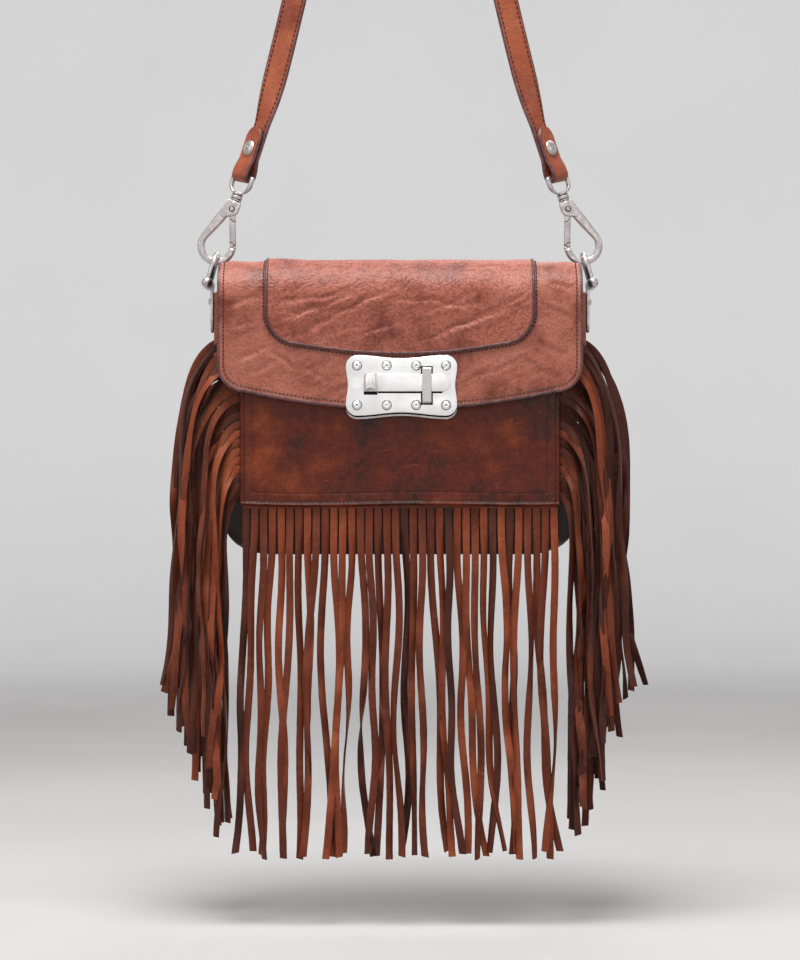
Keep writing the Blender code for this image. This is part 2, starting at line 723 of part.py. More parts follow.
def make_lock():
    """Front plate, back plate, rivets, keeper and magnets of the slide-bolt lock."""
    z0 = LOCK_Z
    rivets = [circle(x - LOCK_X, z - z0, RIVET_SHANK + GAP) for x, z in rivet_places()]
    kx = KEEPER_X - LOCK_X
    kw = KEEPER_WIDTH / 2 + GAP
    kh = KEEPER_HEIGHT / 2 + GAP
    keeper_slot = [(kx - kw, -kh), (kx + kw, -kh), (kx + kw, kh), (kx - kw, kh)]
    half = STEM_SIZE / 2 + GAP
    guide = [(STEM_X - BOLT_TRAVEL - half, BOLT_Z - half), (STEM_X + half, BOLT_Z - half),
             (STEM_X + half, BOLT_Z + half), (STEM_X - BOLT_TRAVEL - half, BOLT_Z + half)]
    plate = flat_outline("lock_plate", [lock_outline(LOCK_HEIGHT), keeper_slot, guide] + rivets, LOCK_PLATE)
    place(plate, NICKEL_SATIN, FLAP, (LOCK_X, LOCK_PLATE_Y - HINGE_Y, z0), UPRIGHT)

    lower = [(x, y - BACK_PLATE_DROP if y < 0 else y) for x, y in lock_outline(LOCK_HEIGHT)]
    back = flat_outline("lock_back_plate", [lower] + rivets, BACK_PLATE)
    place(back, NICKEL_SATIN, FLAP, (LOCK_X, BACK_PLATE_Y - HINGE_Y, z0), UPRIGHT)

    length = BACK_PLATE_Y + BACK_PLATE / 2 - LOCK_FACE
    head = RIVET_HEAD
    profile = [(0, 0.0009), (0.0006, 0.0010), (0.0010, 0.0018), (0.7 * head, 0.0015), (head, 0),
               (RIVET_SHANK, 0), (RIVET_SHANK, -length), (0, -length)]
    for n, (x, z) in enumerate(rivet_places()):
        rivet = turned(f"lock_rivet_{n + 1}", profile)
        place(rivet, NICKEL_SATIN, FLAP, (x, LOCK_FACE - GAP - HINGE_Y, z), UPRIGHT)

    back_y = LOCK_PLATE_Y + LOCK_PLATE / 2
    bridge_in = BOLT_FACE - GAP
    bridge_out = bridge_in - KEEPER_THICKNESS
    outer = KEEPER_HEIGHT / 2
    inner = BOLT_HEIGHT / 2 + 0.0008
    shape = [(back_y, outer), (bridge_out + 0.001, outer), (bridge_out, outer - 0.001),
             (bridge_out, 0.001 - outer), (bridge_out + 0.001, -outer), (back_y, -outer),
             (back_y, BOLT_Z - inner), (bridge_in, BOLT_Z - inner), (bridge_in, BOLT_Z + inner),
             (back_y, BOLT_Z + inner)]
    keeper = flat_outline("lock_keeper", [[(y - HINGE_Y, z) for y, z in shape]], KEEPER_WIDTH)
    place(keeper, NICKEL_SATIN, FLAP, (KEEPER_X, 0, z0), (math.pi / 2, 0, math.pi / 2))

    for name, y, parent in (("magnet_flap", MAGNET_FLAP_Y - HINGE_Y, FLAP),
                            ("magnet_front", MAGNET_FRONT_Y, BAG)):
        magnet = cylinder(name, MAGNET_RADIUS, MAGNET_THICKNESS, "Y")
        place(magnet, STEEL_MAGNET, parent, (LOCK_X, y, LOCK_Z))


def make_bolt():
    """Sliding bolt: a strip rolled into a grip, with a stem that runs in the plate's guide slot."""
    back = BOLT_BACK - HINGE_Y
    front = back - BOLT_THICKNESS
    cy = back - BARREL_RADIUS
    outer = arc(BARREL_X, cy, BARREL_RADIUS, 90, 350, 14)
    inner = arc(BARREL_X, cy, BARREL_RADIUS - BOLT_THICKNESS, 350, 90, 14)
    profile = [(BOLT_RIGHT, back)] + outer + inner
    profile += [(BOLT_RIGHT - 0.001, front), (BOLT_RIGHT, front + 0.001)]
    strip = flat_outline("lock_bolt", [profile], BOLT_HEIGHT)
    place(strip, NICKEL_SATIN, FLAP, (LOCK_X, 0, LOCK_Z + BOLT_Z))
    bolt = as_mesh(strip)
    bolt.data.shade_smooth()
    bolt.data.set_sharp_from_angle(angle=math.radians(40))

    half = BOLT_HEIGHT / 2
    tip = arc(BOLT_RIGHT - half, 0, half, -90, 90, 8)
    left = BARREL_X - 2 * BARREL_RADIUS
    around = flat_outline("bolt_tip", [tip + [(left, half + 0.001), (left, -half - 0.001)]], 0.05)
    place(around, None, FLAP, (LOCK_X, back, LOCK_Z + BOLT_Z), UPRIGHT)
    boolean(bolt, "INTERSECT", as_mesh(around))
    plate_back = LOCK_PLATE_Y + LOCK_PLATE / 2 - HINGE_Y
    reach = plate_back + GAP + FOOT_THICKNESS / 2
    sunk = back - BOLT_THICKNESS / 3
    stem = box("bolt_stem", (STEM_SIZE, reach - sunk, STEM_SIZE), (STEM_X, (reach + sunk) / 2, 0))
    boolean(bolt, "UNION", place(stem, None, FLAP, (LOCK_X, 0, LOCK_Z + BOLT_Z)))
    foot = box("bolt_foot", (FOOT_SIZE, FOOT_THICKNESS, FOOT_SIZE), (STEM_X, reach, 0))
    boolean(bolt, "UNION", place(foot, None, FLAP, (LOCK_X, 0, LOCK_Z + BOLT_Z)))


def make_side_ring():
    """Left tab, tongue plate, rivet, pin and shackle. Returns them with their finishes."""
    pin_x = -(BODY_HALF_WIDTH + GAP + TAB_LEATHER + GAP + KNUCKLE_RADIUS)
    face = -(BODY_HALF_WIDTH + GAP)
    half = TAB_WIDTH / 2
    tab_outline = [(-half, TAB_TOP - 0.004), (-half + 0.002, TAB_TOP), (half - 0.002, TAB_TOP),
                   (half, TAB_TOP - 0.004)] + arc(0, TAB_BOTTOM + half, half, 0, -180, 8)
    hole = circle(0, TAB_RIVET_Z, RIVET_SHANK + GAP)
    tab = flat_outline("side_tab_left", [tab_outline, hole], TAB_LEATHER)
    place(tab, LEATHER_STRAP, BAG, (face - TAB_LEATHER / 2, TAB_Y, 0), SIDEWAYS)

    inner = face - TAB_LEATHER - GAP
    outer = inner - RING_PLATE
    knuckle = arc(pin_x, PIN_Z, KNUCKLE_RADIUS, 0, 230, 14)
    profile = [(inner, PLATE_BOTTOM), (inner, PIN_Z)] + knuckle[1:]
    profile += [(outer, PIN_Z - 0.0045), (outer, PLATE_BOTTOM)]
    bore = circle(pin_x, PIN_Z, PIN_RADIUS + PIN_CLEARANCE)
    plate = flat_outline("ring_plate_left", [profile, bore], KNUCKLE_WIDTH)
    place(plate, NICKEL_ANTIQUE, BAG, (0, TAB_Y, 0), UPRIGHT)
    plate = as_mesh(plate)
    half = KNUCKLE_WIDTH / 2
    tongue = arc(0, PLATE_BOTTOM + half, half, 0, -180, 8)
    tongue += [(-half - 0.001, PIN_Z + 0.02), (half + 0.001, PIN_Z + 0.02)]
    around = flat_outline("tongue_outline", [tongue], 0.03)
    place(around, None, BAG, (pin_x, TAB_Y, 0), SIDEWAYS)
    boolean(plate, "INTERSECT", as_mesh(around))
    hole = cylinder("tongue_hole", RIVET_SHANK + GAP, 0.03, "X", 12, (outer, TAB_Y, TAB_RIVET_Z))
    boolean(plate, "DIFFERENCE", place(hole, None, BAG))

    length = outer - (-BODY_HALF_WIDTH + LEATHER)
    profile = [(0, 0.0014), (0.0016, 0.0012), (0.0026, 0), (RIVET_SHANK, 0), (RIVET_SHANK, length), (0, length)]
    rivet = turned("tab_rivet_left", profile)
    place(rivet, NICKEL_ANTIQUE, BAG, (outer - GAP, TAB_Y, TAB_RIVET_Z), (0, -math.pi / 2, 0))

    eye_out = SHACKLE_HALF_WIDTH + SHACKLE_WIRE
    collar = eye_out + GAP
    ball = [(BALL_RADIUS * math.sin(a), collar + 0.0010 + BALL_RADIUS * (1 + math.cos(a)) * 0.9)
            for a in [math.radians(26 * k) for k in range(6)]]
    ball[0] = (0, ball[0][1])
    flange = [(0.0034, collar + 0.0012), (0.0034, collar), (PIN_RADIUS, collar)]
    upper = ball + flange
    lower = [(r, -z) for r, z in reversed(upper)]
    pin = turned("shackle_pin_left", upper + lower, 12)
    place(pin, NICKEL_ANTIQUE, BAG, (pin_x, TAB_Y, PIN_Z), UPRIGHT)
    return pin_x


def make_shackle(frame, length):
    """Bent wire ring: a narrow bow over two eyes on the pin."""
    w = SHACKLE_HALF_WIDTH
    straight = length - w
    bow = [(0, y, straight + z) for y, z in arc(0, 0, w, 180, 0, 8)]
    points = [(0, -w, 0.001)] + bow + [(0, w, 0.001)]
    place(wire("shackle_left", points, SHACKLE_WIRE), NICKEL_ANTIQUE, frame)
    shackle = as_mesh(bpy.data.objects["shackle_left"])
    for sign in (-1, 1):
        eye = cylinder("shackle_eye", 0.0034, SHACKLE_EYE, "Y", 12, (0, sign * w, 0))
        boolean(shackle, "UNION", place(eye, None, frame))
    bore = cylinder("shackle_bore", PIN_RADIUS + PIN_CLEARANCE, 4 * w, "Y", 12)
    boolean(shackle, "DIFFERENCE", place(bore, None, frame))
    return shackle


def make_eye(frame):
    """Swivel eye: a D-shaped wire for the strap, on a collar whose stem turns in the hook's neck."""
    reach = STRAP_WIDTH / 2 + 0.0005 + EYE_WIRE
    corner = 0.0022
    flat = arc(reach - corner, -corner, corner, 90, 0, 3)
    flat += [(reach * math.cos(a), -0.0062 - 0.0074 * math.sin(a))
             for a in [math.radians(20 * k) for k in range(10)]]
    flat += arc(corner - reach, -corner, corner, 180, 90, 3)
    wide = (math.cos(EYE_TURN), -math.sin(EYE_TURN))
    points = [(wide[0] * u, wide[1] * u, z) for u, z in flat]
    place(wire("eye_left", points, EYE_WIRE, True), NICKEL_ANTIQUE, frame)
    eye = as_mesh(bpy.data.objects["eye_left"])
    bottom = SHOULDER_Z + GAP
    collar = cylinder("eye_collar", NECK_RADIUS, -0.0125 - bottom, "Z", 16, (0, 0, (bottom - 0.0125) / 2))
    boolean(eye, "UNION", place(collar, None, frame))
    stem = cylinder("eye_stem", STEM_RADIUS, 0.0046, "Z", 10, (0, 0, SHOULDER_Z - 0.0013))
    boolean(eye, "UNION", place(stem, None, frame))
    return eye


def make_hook(frame):
    """Cast snap hook: a pear-shaped loop open at the gate, a forked block and a bored neck."""
    cx, cz, r = HOOK_LOOP_X, HOOK_LOOP_Z, HOOK_LOOP_RADIUS
    nose = math.degrees(HOOK_NOSE)
    leaves = math.degrees(HOOK_ARM_LEAVES)
    points = [(x, 0, z) for x, z in arc(cx, cz, r, nose, leaves - 360, 14)]
    start = Vector(points[-1])
    top = Vector((-0.0035, 0, SHOULDER_Z - 0.0065))
    points += [tuple(start.lerp(top, k / 2)) for k in (1, 2)]
    place(wire("hook_left", points, HOOK_WIRE), NICKEL_ANTIQUE, frame)
    hook = as_mesh(bpy.data.objects["hook_left"])
    block = [(-0.0042, SHOULDER_Z - 0.004), (-0.0071, SHOULDER_Z - 0.0125), (-0.0045, SHOULDER_Z - 0.0140),
             (0.0012, SHOULDER_Z - 0.0120), (0.0038, SHOULDER_Z - 0.0090), (0.0040, SHOULDER_Z - 0.004)]
    cheek = flat_outline("hook_block", [block], BLOCK_THICKNESS)
    place(cheek, None, frame, rotation=UPRIGHT)
    boolean(hook, "UNION", as_mesh(cheek))
    neck = cylinder("hook_neck", NECK_RADIUS, 0.0052, "Z", 16, (0, 0, SHOULDER_Z - 0.0026))
    boolean(hook, "UNION", place(neck, None, frame))
    slot_half = GATE_THICKNESS / 2 + GAP
    slot = box("hook_slot", (0.02, 2 * slot_half, 0.0160), (0.0065, 0, SHOULDER_Z - 0.0122))
    boolean(hook, "DIFFERENCE", place(slot, None, frame))
    bore = cylinder("hook_bore", STEM_RADIUS + GAP, 0.0096, "Z", 10, (0, 0, SHOULDER_Z))
    boolean(hook, "DIFFERENCE", place(bore, None, frame))
    pin_hole = cylinder("hook_pin_hole", PIN_RADIUS, 0.02, "Y", 12, (PIVOT_X, 0, PIVOT_Z))
    boolean(hook, "DIFFERENCE", place(pin_hole, None, frame))
    return hook


def make_hook_pin(frame):
    half = BLOCK_THICKNESS / 2
    r = PIN_RADIUS - GAP
    upper = [(0, half + 0.0005), (r * 0.7, half + 0.0005), (r, half + 0.0001)]
    lower = [(r, -half - 0.0001), (r * 0.7, -half - 0.0005), (0, -half - 0.0005)]
    pin = turned("hook_pin_left", upper + lower)
    return place(pin, NICKEL_ANTIQUE, frame, (PIVOT_X, 0, PIVOT_Z), UPRIGHT)


def make_gate(frame):
    """Sprung gate: a flat lever from its pivot down to the hook's nose."""
    dx = GATE_TIP_X - PIVOT_X
    dz = GATE_TIP_Z - PIVOT_Z
    length = math.hypot(dx, dz)
    ux, uz = dx / length, dz / length
    px, pz = -uz, ux
    bar = GATE_BAR
    head = [(GATE_ROOT * math.cos(a), GATE_ROOT * math.sin(a)) for a in
            [math.atan2(pz, px) + math.radians(22.5 * k) for k in range(9)]]
    lever = [(ux * 0.008 - px * bar, uz * 0.008 - pz * bar), (dx - px * bar, dz - pz * bar),
             (dx + px * bar, dz + pz * bar), (ux * 0.008 + px * bar, uz * 0.008 + pz * bar)]
    outline = head + lever
    hole = circle(0, 0, PIN_RADIUS, 12)
    gate = flat_outline("gate_left", [outline, hole], GATE_THICKNESS)
    return place(gate, NICKEL_ANTIQUE, frame, (PIVOT_X, 0, PIVOT_Z), UPRIGHT)


def strap_line():
    """Stations along the strap's middle: point, direction of its width, and share of its width."""
    up = Vector((math.sin(HOOK_TILT), 0, math.cos(HOOK_TILT)))
    side = Vector((math.cos(HOOK_TILT), 0, -math.sin(HOOK_TILT)))
    wide = side * math.cos(EYE_TURN) + Vector((0, -math.sin(EYE_TURN), 0))
    tail_side = side * -math.sin(EYE_TURN) + Vector((0, -math.cos(EYE_TURN), 0))
    bar = Vector((EYE_BAR_X, 0, EYE_BAR_Z - STRAP_DROP))
    near = STRAP_THICKNESS / 2 + GAP / 2
    round_bar = EYE_WIRE + GAP + STRAP_THICKNESS / 2
    stations = []

    def add(offset, height, share=1.0):
        stations.append((bar + tail_side * offset + up * height, wide, share))

    radius = STRAP_WIDTH / 2
    for k in range(5):
        a = math.radians(8 + 82 * k / 4)
        add(near, TAIL_LENGTH - radius + radius * math.cos(a), math.sin(a))
    for height in (0.020, 0.0135):
        add(near, height)
    add(near + 0.35 * (round_bar - near), 0.0085)
    add(near + 0.80 * (round_bar - near), 0.0045)
    for k in range(7):
        a = math.radians(180 * k / 6)
        add(round_bar * math.cos(a), -round_bar * math.sin(a))
    add(-near - 0.80 * (round_bar - near), 0.0045)
    add(-near - 0.35 * (round_bar - near), 0.0085)
    for height in (0.0135, 0.020, 0.027, TAIL_LENGTH):
        add(-near, height)

    crown_radius = CROWN_RADIUS + STRAP_THICKNESS / 2
    crown_z = -CROWN_RADIUS
    lean = math.radians(13.0)
    joins = Vector((-crown_radius * math.cos(lean), 0, crown_z + crown_radius * math.sin(lean)))
    start = stations[-1][0]
    first = start + up * 0.035
    last = joins - Vector((math.sin(lean), 0, math.cos(lean))) * 0.12
    path = []
    for k in range(1, 13):
        t = k / 12
        point = (start * (1 - t)**3 + first * 3 * t * (1 - t)**2 + last * 3 * t * t * (1 - t) + joins * t**3)
        path.append((point, t))
    for point, t in path:
        turn = EYE_TURN + (math.radians(12) - EYE_TURN) * smooth(t / 0.25)
        turn += math.radians(70) * smooth((t - 0.45) / 0.5)
        direction = up.lerp(Vector((math.sin(lean), 0, math.cos(lean))), t).normalized()
        level = Vector((direction.z, 0, -direction.x))
        stations.append((point, level * math.cos(turn) + Vector((0, -math.sin(turn), 0)), 1.0))
    arc_turn = turn
    for k in range(1, 5):
        t = k / 4
        a = math.pi - lean - (math.pi / 2 - lean) * t
        point = Vector((crown_radius * math.cos(a), 0, crown_z + crown_radius * math.sin(a)))
        turn = arc_turn + (math.pi / 2 - arc_turn) * t
        direction = Vector((math.sin(a), 0, -math.cos(a)))
        level = Vector((direction.z, 0, -direction.x))
        stations.append((point, level * math.cos(turn) + Vector((0, -math.sin(turn), 0)), 1.0))
    right = []
    for point, across, share in reversed(stations[:-1]):
        right.append((Vector((-point.x, point.y, point.z)), Vector((-across.x, across.y, across.z)), share))
    return stations + right


def make_strap():
    """Shoulder strap in one piece, folded back round the eyes at both ends and riveted."""
    stations = strap_line()
    bm = bmesh.new()
    rings = []
    count = len(stations)
    for i, (point, across, share) in enumerate(stations):
        ahead = stations[min(i + 1, count - 1)][0]
        behind = stations[max(i - 1, 0)][0]
        along = (ahead - behind).normalized()
        across = (across - along * across.dot(along)).normalized()
        normal = along.cross(across)
        half = STRAP_WIDTH / 2 * share
        thick = STRAP_THICKNESS / 2
        ring = [bm.verts.new(point + across * (sx * half) + normal * (sn * thick))
                for sx, sn in ((-1, -1), (1, -1), (1, 1), (-1, 1))]
        rings.append(ring)
    for a, b in zip(rings, rings[1:]):
        for k in range(4):
            bm.faces.new((a[k], a[(k + 1) % 4], b[(k + 1) % 4], b[k]))
    bm.faces.new(list(reversed(rings[0])))
    bm.faces.new(rings[-1])
    bmesh.ops.recalc_face_normals(bm, faces=bm.faces)
    strap = place(mesh_object("strap", bm), LEATHER_STRAP, None)
    return strap


def strap_rivet(frame, strap):
    """Rivet with two domed caps through both layers of the strap's folded end."""
    reach = STRAP_THICKNESS + GAP / 2 + GAP
    dome = [(0, reach + 0.0016), (0.5 * SNAP_CAP, reach + 0.0014), (0.88 * SNAP_CAP, reach + 0.0007),
            (SNAP_CAP, reach)]
    upper = dome + [(0.0016, reach)]
    lower = [(r, -z) for r, z in reversed(upper)]
    rivet = turned("strap_rivet_left", upper + lower, 12)
    turn = (math.pi / 2, 0, -EYE_TURN)
    place(rivet, NICKEL_ANTIQUE, frame, (0, 0, STRAP_RIVET_UP), turn)
    hole = cylinder("strap_hole_left", 0.0016 + GAP, 0.02, "Z", 12)
    place(hole, None, frame, (0, 0, STRAP_RIVET_UP), turn)
    return rivet, hole


for old in list(bpy.data.objects):
    bpy.data.objects.remove(old)
PARTS = collection("fringed_shoulder_bag")
CUTTERS = collection("cutters")
UPRIGHT = (math.pi / 2, 0, 0)
SIDEWAYS = (math.pi / 2, 0, math.pi / 2)

BAG = empty("bag_frame", (0, -TAB_Y, -STRAP_DROP))
FLAP = empty("flap_hinge", (0, HINGE_Y, 0), BAG)

make_back_panel()
make_front_panel()
make_gusset()
make_pocket_panel()
make_bottom_fringe(random.Random(3))
seam_front = FRONT_HALF_WIDTH - SEAM_INSET
seam_back = BODY_HALF_WIDTH - PANEL_MARGIN
front_layers = (1, 0, -1, -2)
back_layers = (0, 1, 2, 3)
make_side_fringe(
    "front_fringe_left", -1, FRINGE_FRONT_Y, seam_front, REACH_FRONT_LEFT, front_layers, random.Random(11))
make_side_fringe(
    "front_fringe_right", 1, FRINGE_FRONT_Y, seam_front, REACH_FRONT_RIGHT, front_layers, random.Random(12))
make_side_fringe("back_fringe_left", -1, FRINGE_BACK_Y, seam_back, REACH_BACK, back_layers, random.Random(13))
make_side_fringe("back_fringe_right", 1, FRINGE_BACK_Y, seam_back, REACH_BACK, back_layers, random.Random(14))
make_flap()
make_yoke()
make_lock()
make_bolt()

# Left ring, hook and gate, each in the frame of its own joint
pin_x = make_side_ring()
axis = Vector((math.sin(HOOK_TILT), 0, math.cos(HOOK_TILT)))
level_axis = Vector((math.cos(HOOK_TILT), 0, -math.sin(HOOK_TILT)))
bar_point = Vector((EYE_BAR_X, 0, EYE_BAR_Z - STRAP_DROP))
loop_centre = bar_point + axis * HOOK_LOOP_Z + level_axis * HOOK_LOOP_X
bow_rest = loop_centre.z - (HOOK_LOOP_RADIUS - HOOK_WIRE) + GAP + SHACKLE_WIRE
pin_point = Vector((pin_x, 0, PIN_Z - STRAP_DROP))
bow = Vector((loop_centre.x, 0, bow_rest)) - pin_point
hook_frame = empty("hook_swivel_left", bar_point, None, (0, HOOK_TILT, 0))
ring_frame = empty("shackle_hinge_left", pin_point, None, (0, math.atan2(bow.x, bow.z), 0))
shackle = make_shackle(ring_frame, bow.length)
eye = make_eye(hook_frame)
hook = make_hook(hook_frame)
pin = make_hook_pin(hook_frame)
gate = make_gate(hook_frame)
strap = make_strap()
rivet, hole_left = strap_rivet(hook_frame, strap)

# Right side, the mirror image of the left
right_bar = (-bar_point.x, 0, bar_point.z)
right_pin = (-pin_point.x, 0, pin_point.z)
right_pivot = bar_point + axis * PIVOT_Z + level_axis * PIVOT_X
right_pivot.x = -right_pivot.x
mirrored("hook_right", hook, NICKEL_ANTIQUE, right_bar)
mirrored("hook_pin_right", pin, NICKEL_ANTIQUE, tuple(right_pivot))
mirrored("gate_right", gate, NICKEL_ANTIQUE, tuple(right_pivot))
mirrored("eye_right", eye, NICKEL_ANTIQUE, right_bar)
mirrored("strap_rivet_right", rivet, NICKEL_ANTIQUE, right_bar)
mirrored("shackle_right", shackle, NICKEL_ANTIQUE, right_pin)
mirrored("shackle_pin_right", bpy.data.objects["shackle_pin_left"], NICKEL_ANTIQUE, right_pin)
mirrored("ring_plate_right", bpy.data.objects["ring_plate_left"], NICKEL_ANTIQUE, right_pin)
mirrored("side_tab_right", bpy.data.objects["side_tab_left"], LEATHER_STRAP, right_pin)
mirrored("tab_rivet_right", bpy.data.objects["tab_rivet_left"], NICKEL_ANTIQUE, right_pin)
hole_right = mirrored("strap_hole_right", hole_left, None, right_bar)
for hole in (hole_left, hole_right):
    boolean(strap, "DIFFERENCE", hole)
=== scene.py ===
"""Look of a fringed leather shoulder bag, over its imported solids. Metres, +Z up, the front faces -Y."""
import math
import random

import bmesh
import bpy
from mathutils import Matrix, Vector, noise

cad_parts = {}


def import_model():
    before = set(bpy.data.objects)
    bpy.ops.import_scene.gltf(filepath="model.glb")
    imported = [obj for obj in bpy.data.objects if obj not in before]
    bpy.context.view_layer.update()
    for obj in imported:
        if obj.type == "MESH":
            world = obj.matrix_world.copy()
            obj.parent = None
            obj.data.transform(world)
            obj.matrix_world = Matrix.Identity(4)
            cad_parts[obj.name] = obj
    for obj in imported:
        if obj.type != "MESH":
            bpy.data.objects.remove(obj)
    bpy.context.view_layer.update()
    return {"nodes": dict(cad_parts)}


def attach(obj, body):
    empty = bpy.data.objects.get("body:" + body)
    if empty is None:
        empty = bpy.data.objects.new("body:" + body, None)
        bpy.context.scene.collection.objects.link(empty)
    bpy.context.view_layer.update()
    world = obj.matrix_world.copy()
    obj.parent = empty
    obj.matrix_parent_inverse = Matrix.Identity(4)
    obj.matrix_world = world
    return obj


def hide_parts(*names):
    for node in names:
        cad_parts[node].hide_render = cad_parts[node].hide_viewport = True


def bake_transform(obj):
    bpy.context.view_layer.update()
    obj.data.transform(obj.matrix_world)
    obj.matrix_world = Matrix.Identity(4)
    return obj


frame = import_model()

BAG_Y = -0.018               # middle of the bag's depth
BAG_Z = -0.400               # the bag's top edge


def world(x, y, z):
    """World point of a point given from the middle of the bag's top edge."""
    return Vector((x, y + BAG_Y, z + BAG_Z))


def linear(code):
    """Linear colour of an sRGB hex code."""
    values = [int(code[i:i + 2], 16) / 255 for i in (0, 2, 4)]
    return [v / 12.92 if v <= 0.04045 else ((v + 0.055) / 1.055) ** 2.4 for v in values] + [1.0]


def add(tree, kind, inputs=(), **settings):
    """Add a node with settings. Its inputs are values, or other nodes' outputs to link."""
    made = tree.nodes.new(kind)
    for key, value in settings.items():
        setattr(made, key, value)
    for key, value in dict(inputs).items():
        if isinstance(value, bpy.types.NodeSocket):
            tree.links.new(value, made.inputs[key])
        else:
            made.inputs[key].default_value = value
    return made


def blank(name, roughness, metallic=0.0):
    """New material: its tree, its shader and the object's own coordinates in metres."""
    made = bpy.data.materials.new(name)
    made.use_nodes = True
    tree = made.node_tree
    shader = tree.nodes["Principled BSDF"]
    shader.inputs["Roughness"].default_value = roughness
    shader.inputs["Metallic"].default_value = metallic
    where = add(tree, "ShaderNodeTexCoord").outputs["Object"]
    return made, tree, shader, where


def spread(tree, value, low, high, start=0.0, end=1.0):
    """Value stretched smoothly from low-high to start-end."""
    made = add(tree, "ShaderNodeMapRange", {"Value": value, "From Min": low, "From Max": high,
                                            "To Min": start, "To Max": end},
               interpolation_type="SMOOTHSTEP")
    return made.outputs["Result"]


def blend_colour(tree, share, first, second, way="MIX"):
    """Mix of two colours, each a hex code or another node's output."""
    first = linear(first) if isinstance(first, str) else first
    second = linear(second) if isinstance(second, str) else second
    made = add(tree, "ShaderNodeMix", {0: share, 6: first, 7: second}, data_type="RGBA", blend_type=way)
    return made.outputs[2]


def clouds(tree, where, size, detail=4.0, rough=0.55, stretch=(1, 1, 1)):
    """Cloudy pattern whose patches are about size metres across."""
    scaled = add(tree, "ShaderNodeMapping", {"Vector": where, "Scale": stretch}).outputs["Vector"]
    made = add(tree, "ShaderNodeTexNoise",
               {"Vector": scaled, "Scale": 1 / size, "Detail": detail, "Roughness": rough})
    return made.outputs["Fac"]


def pale_rays(tree):
    """1 for rays from the camera, in reflections and through clear pieces, and 0 for the light on the object."""
    paths = add(tree, "ShaderNodeLightPath").outputs
    seen = add(tree, "ShaderNodeMath", {0: paths["Is Camera Ray"], 1: paths["Is Glossy Ray"]}, operation="MAXIMUM")
    seen = add(tree, "ShaderNodeMath", {0: seen.outputs[0], 1: paths["Is Transmission Ray"]}, operation="MAXIMUM")
    return seen.outputs[0]


# Stage: pale floor and wall, soft studio light from above, camera level with the fringe's root
# The camera's height and distance follow from the photograph's level view.
def stage():
    wall = bpy.data.meshes.new("backdrop")
    profile = [(-6.0, -0.838), (2.4, -0.838)]
    profile += [(2.4 + 0.8 * math.sin(math.radians(9 * k)), -0.038 - 0.8 * math.cos(math.radians(9 * k)))
                for k in range(1, 11)]
    profile += [(3.2, 4.0)]
    points = [(x, y, z) for y, z in profile for x in (-6.0, 6.0)]
    quads = [(2 * i, 2 * i + 1, 2 * i + 3, 2 * i + 2) for i in range(len(profile) - 1)]
    wall.from_pydata(points, [], quads)
    wall.shade_smooth()
    backdrop = bpy.data.objects.new("backdrop", wall)
    bpy.context.scene.collection.objects.link(backdrop)
    paper, tree, shader, where = blank("pale_studio_paper", 0.9)
    tone = spread(tree, clouds(tree, where, 0.30), 0.3, 0.7)
    tree.links.new(blend_colour(tree, tone, "D0CECC", "D6D4D2"), shader.inputs["Base Color"])
    away = add(tree, "ShaderNodeVectorMath", {0: where}, operation="LENGTH").outputs["Value"]
    glow = add(tree, "ShaderNodeMath", {0: spread(tree, away, 1.3, 3.4, 0.0, 0.48), 1: pale_rays(tree)},
               operation="MULTIPLY").outputs[0]
    shader.inputs["Emission Color"].default_value = linear("F2F2F3")
    tree.links.new(glow, shader.inputs["Emission Strength"])
    wall.materials.append(paper)


stage()
for name, place, aim, size, power in (
        ("top_light", (-0.15, -0.52, 1.00), (0.0, 0.0, -0.45), 0.9, 35.0),
        ("front_light", (0.2, -3.4, 0.2), (0.0, 0.0, -0.5), 2.0, 9.0),
        ("left_light", (-1.7, -1.3, 0.1), (0.0, 0.0, -0.5), 1.2, 6.0),
        ("right_light", (1.8, -1.2, 0.2), (0.0, 0.0, -0.5), 1.0, 4.0),
        ("back_light", (0.4, 1.1, 0.7), (0.0, 0.0, -0.45), 0.9, 7.0)):
    lamp = bpy.data.lights.new(name, "AREA")
    lamp.size = size
    lamp.energy = power
    light = bpy.data.objects.new(name, lamp)
    light.location = place
    light.rotation_euler = (Vector(aim) - Vector(place)).to_track_quat("-Z", "Y").to_euler()
    bpy.context.scene.collection.objects.link(light)
sky = bpy.data.worlds.new("pale_room")
sky.use_nodes = True
sky.node_tree.links.new(blend_colour(sky.node_tree, pale_rays(sky.node_tree), "66666A", "C6C6C8"),
                        sky.node_tree.nodes["Background"].inputs["Color"])
sky.node_tree.nodes["Background"].inputs["Strength"].default_value = 1.0
bpy.context.scene.world = sky
bpy.context.scene.view_settings.view_transform = "Standard"
lens = bpy.data.cameras.new("camera")
lens.lens = 103.0
camera = bpy.data.objects.new("camera", lens)
camera.location = (0.0, -1.857, -0.544)
camera.rotation_euler = (math.pi / 2, 0, 0)
bpy.context.scene.collection.objects.link(camera)
bpy.context.scene.camera = camera


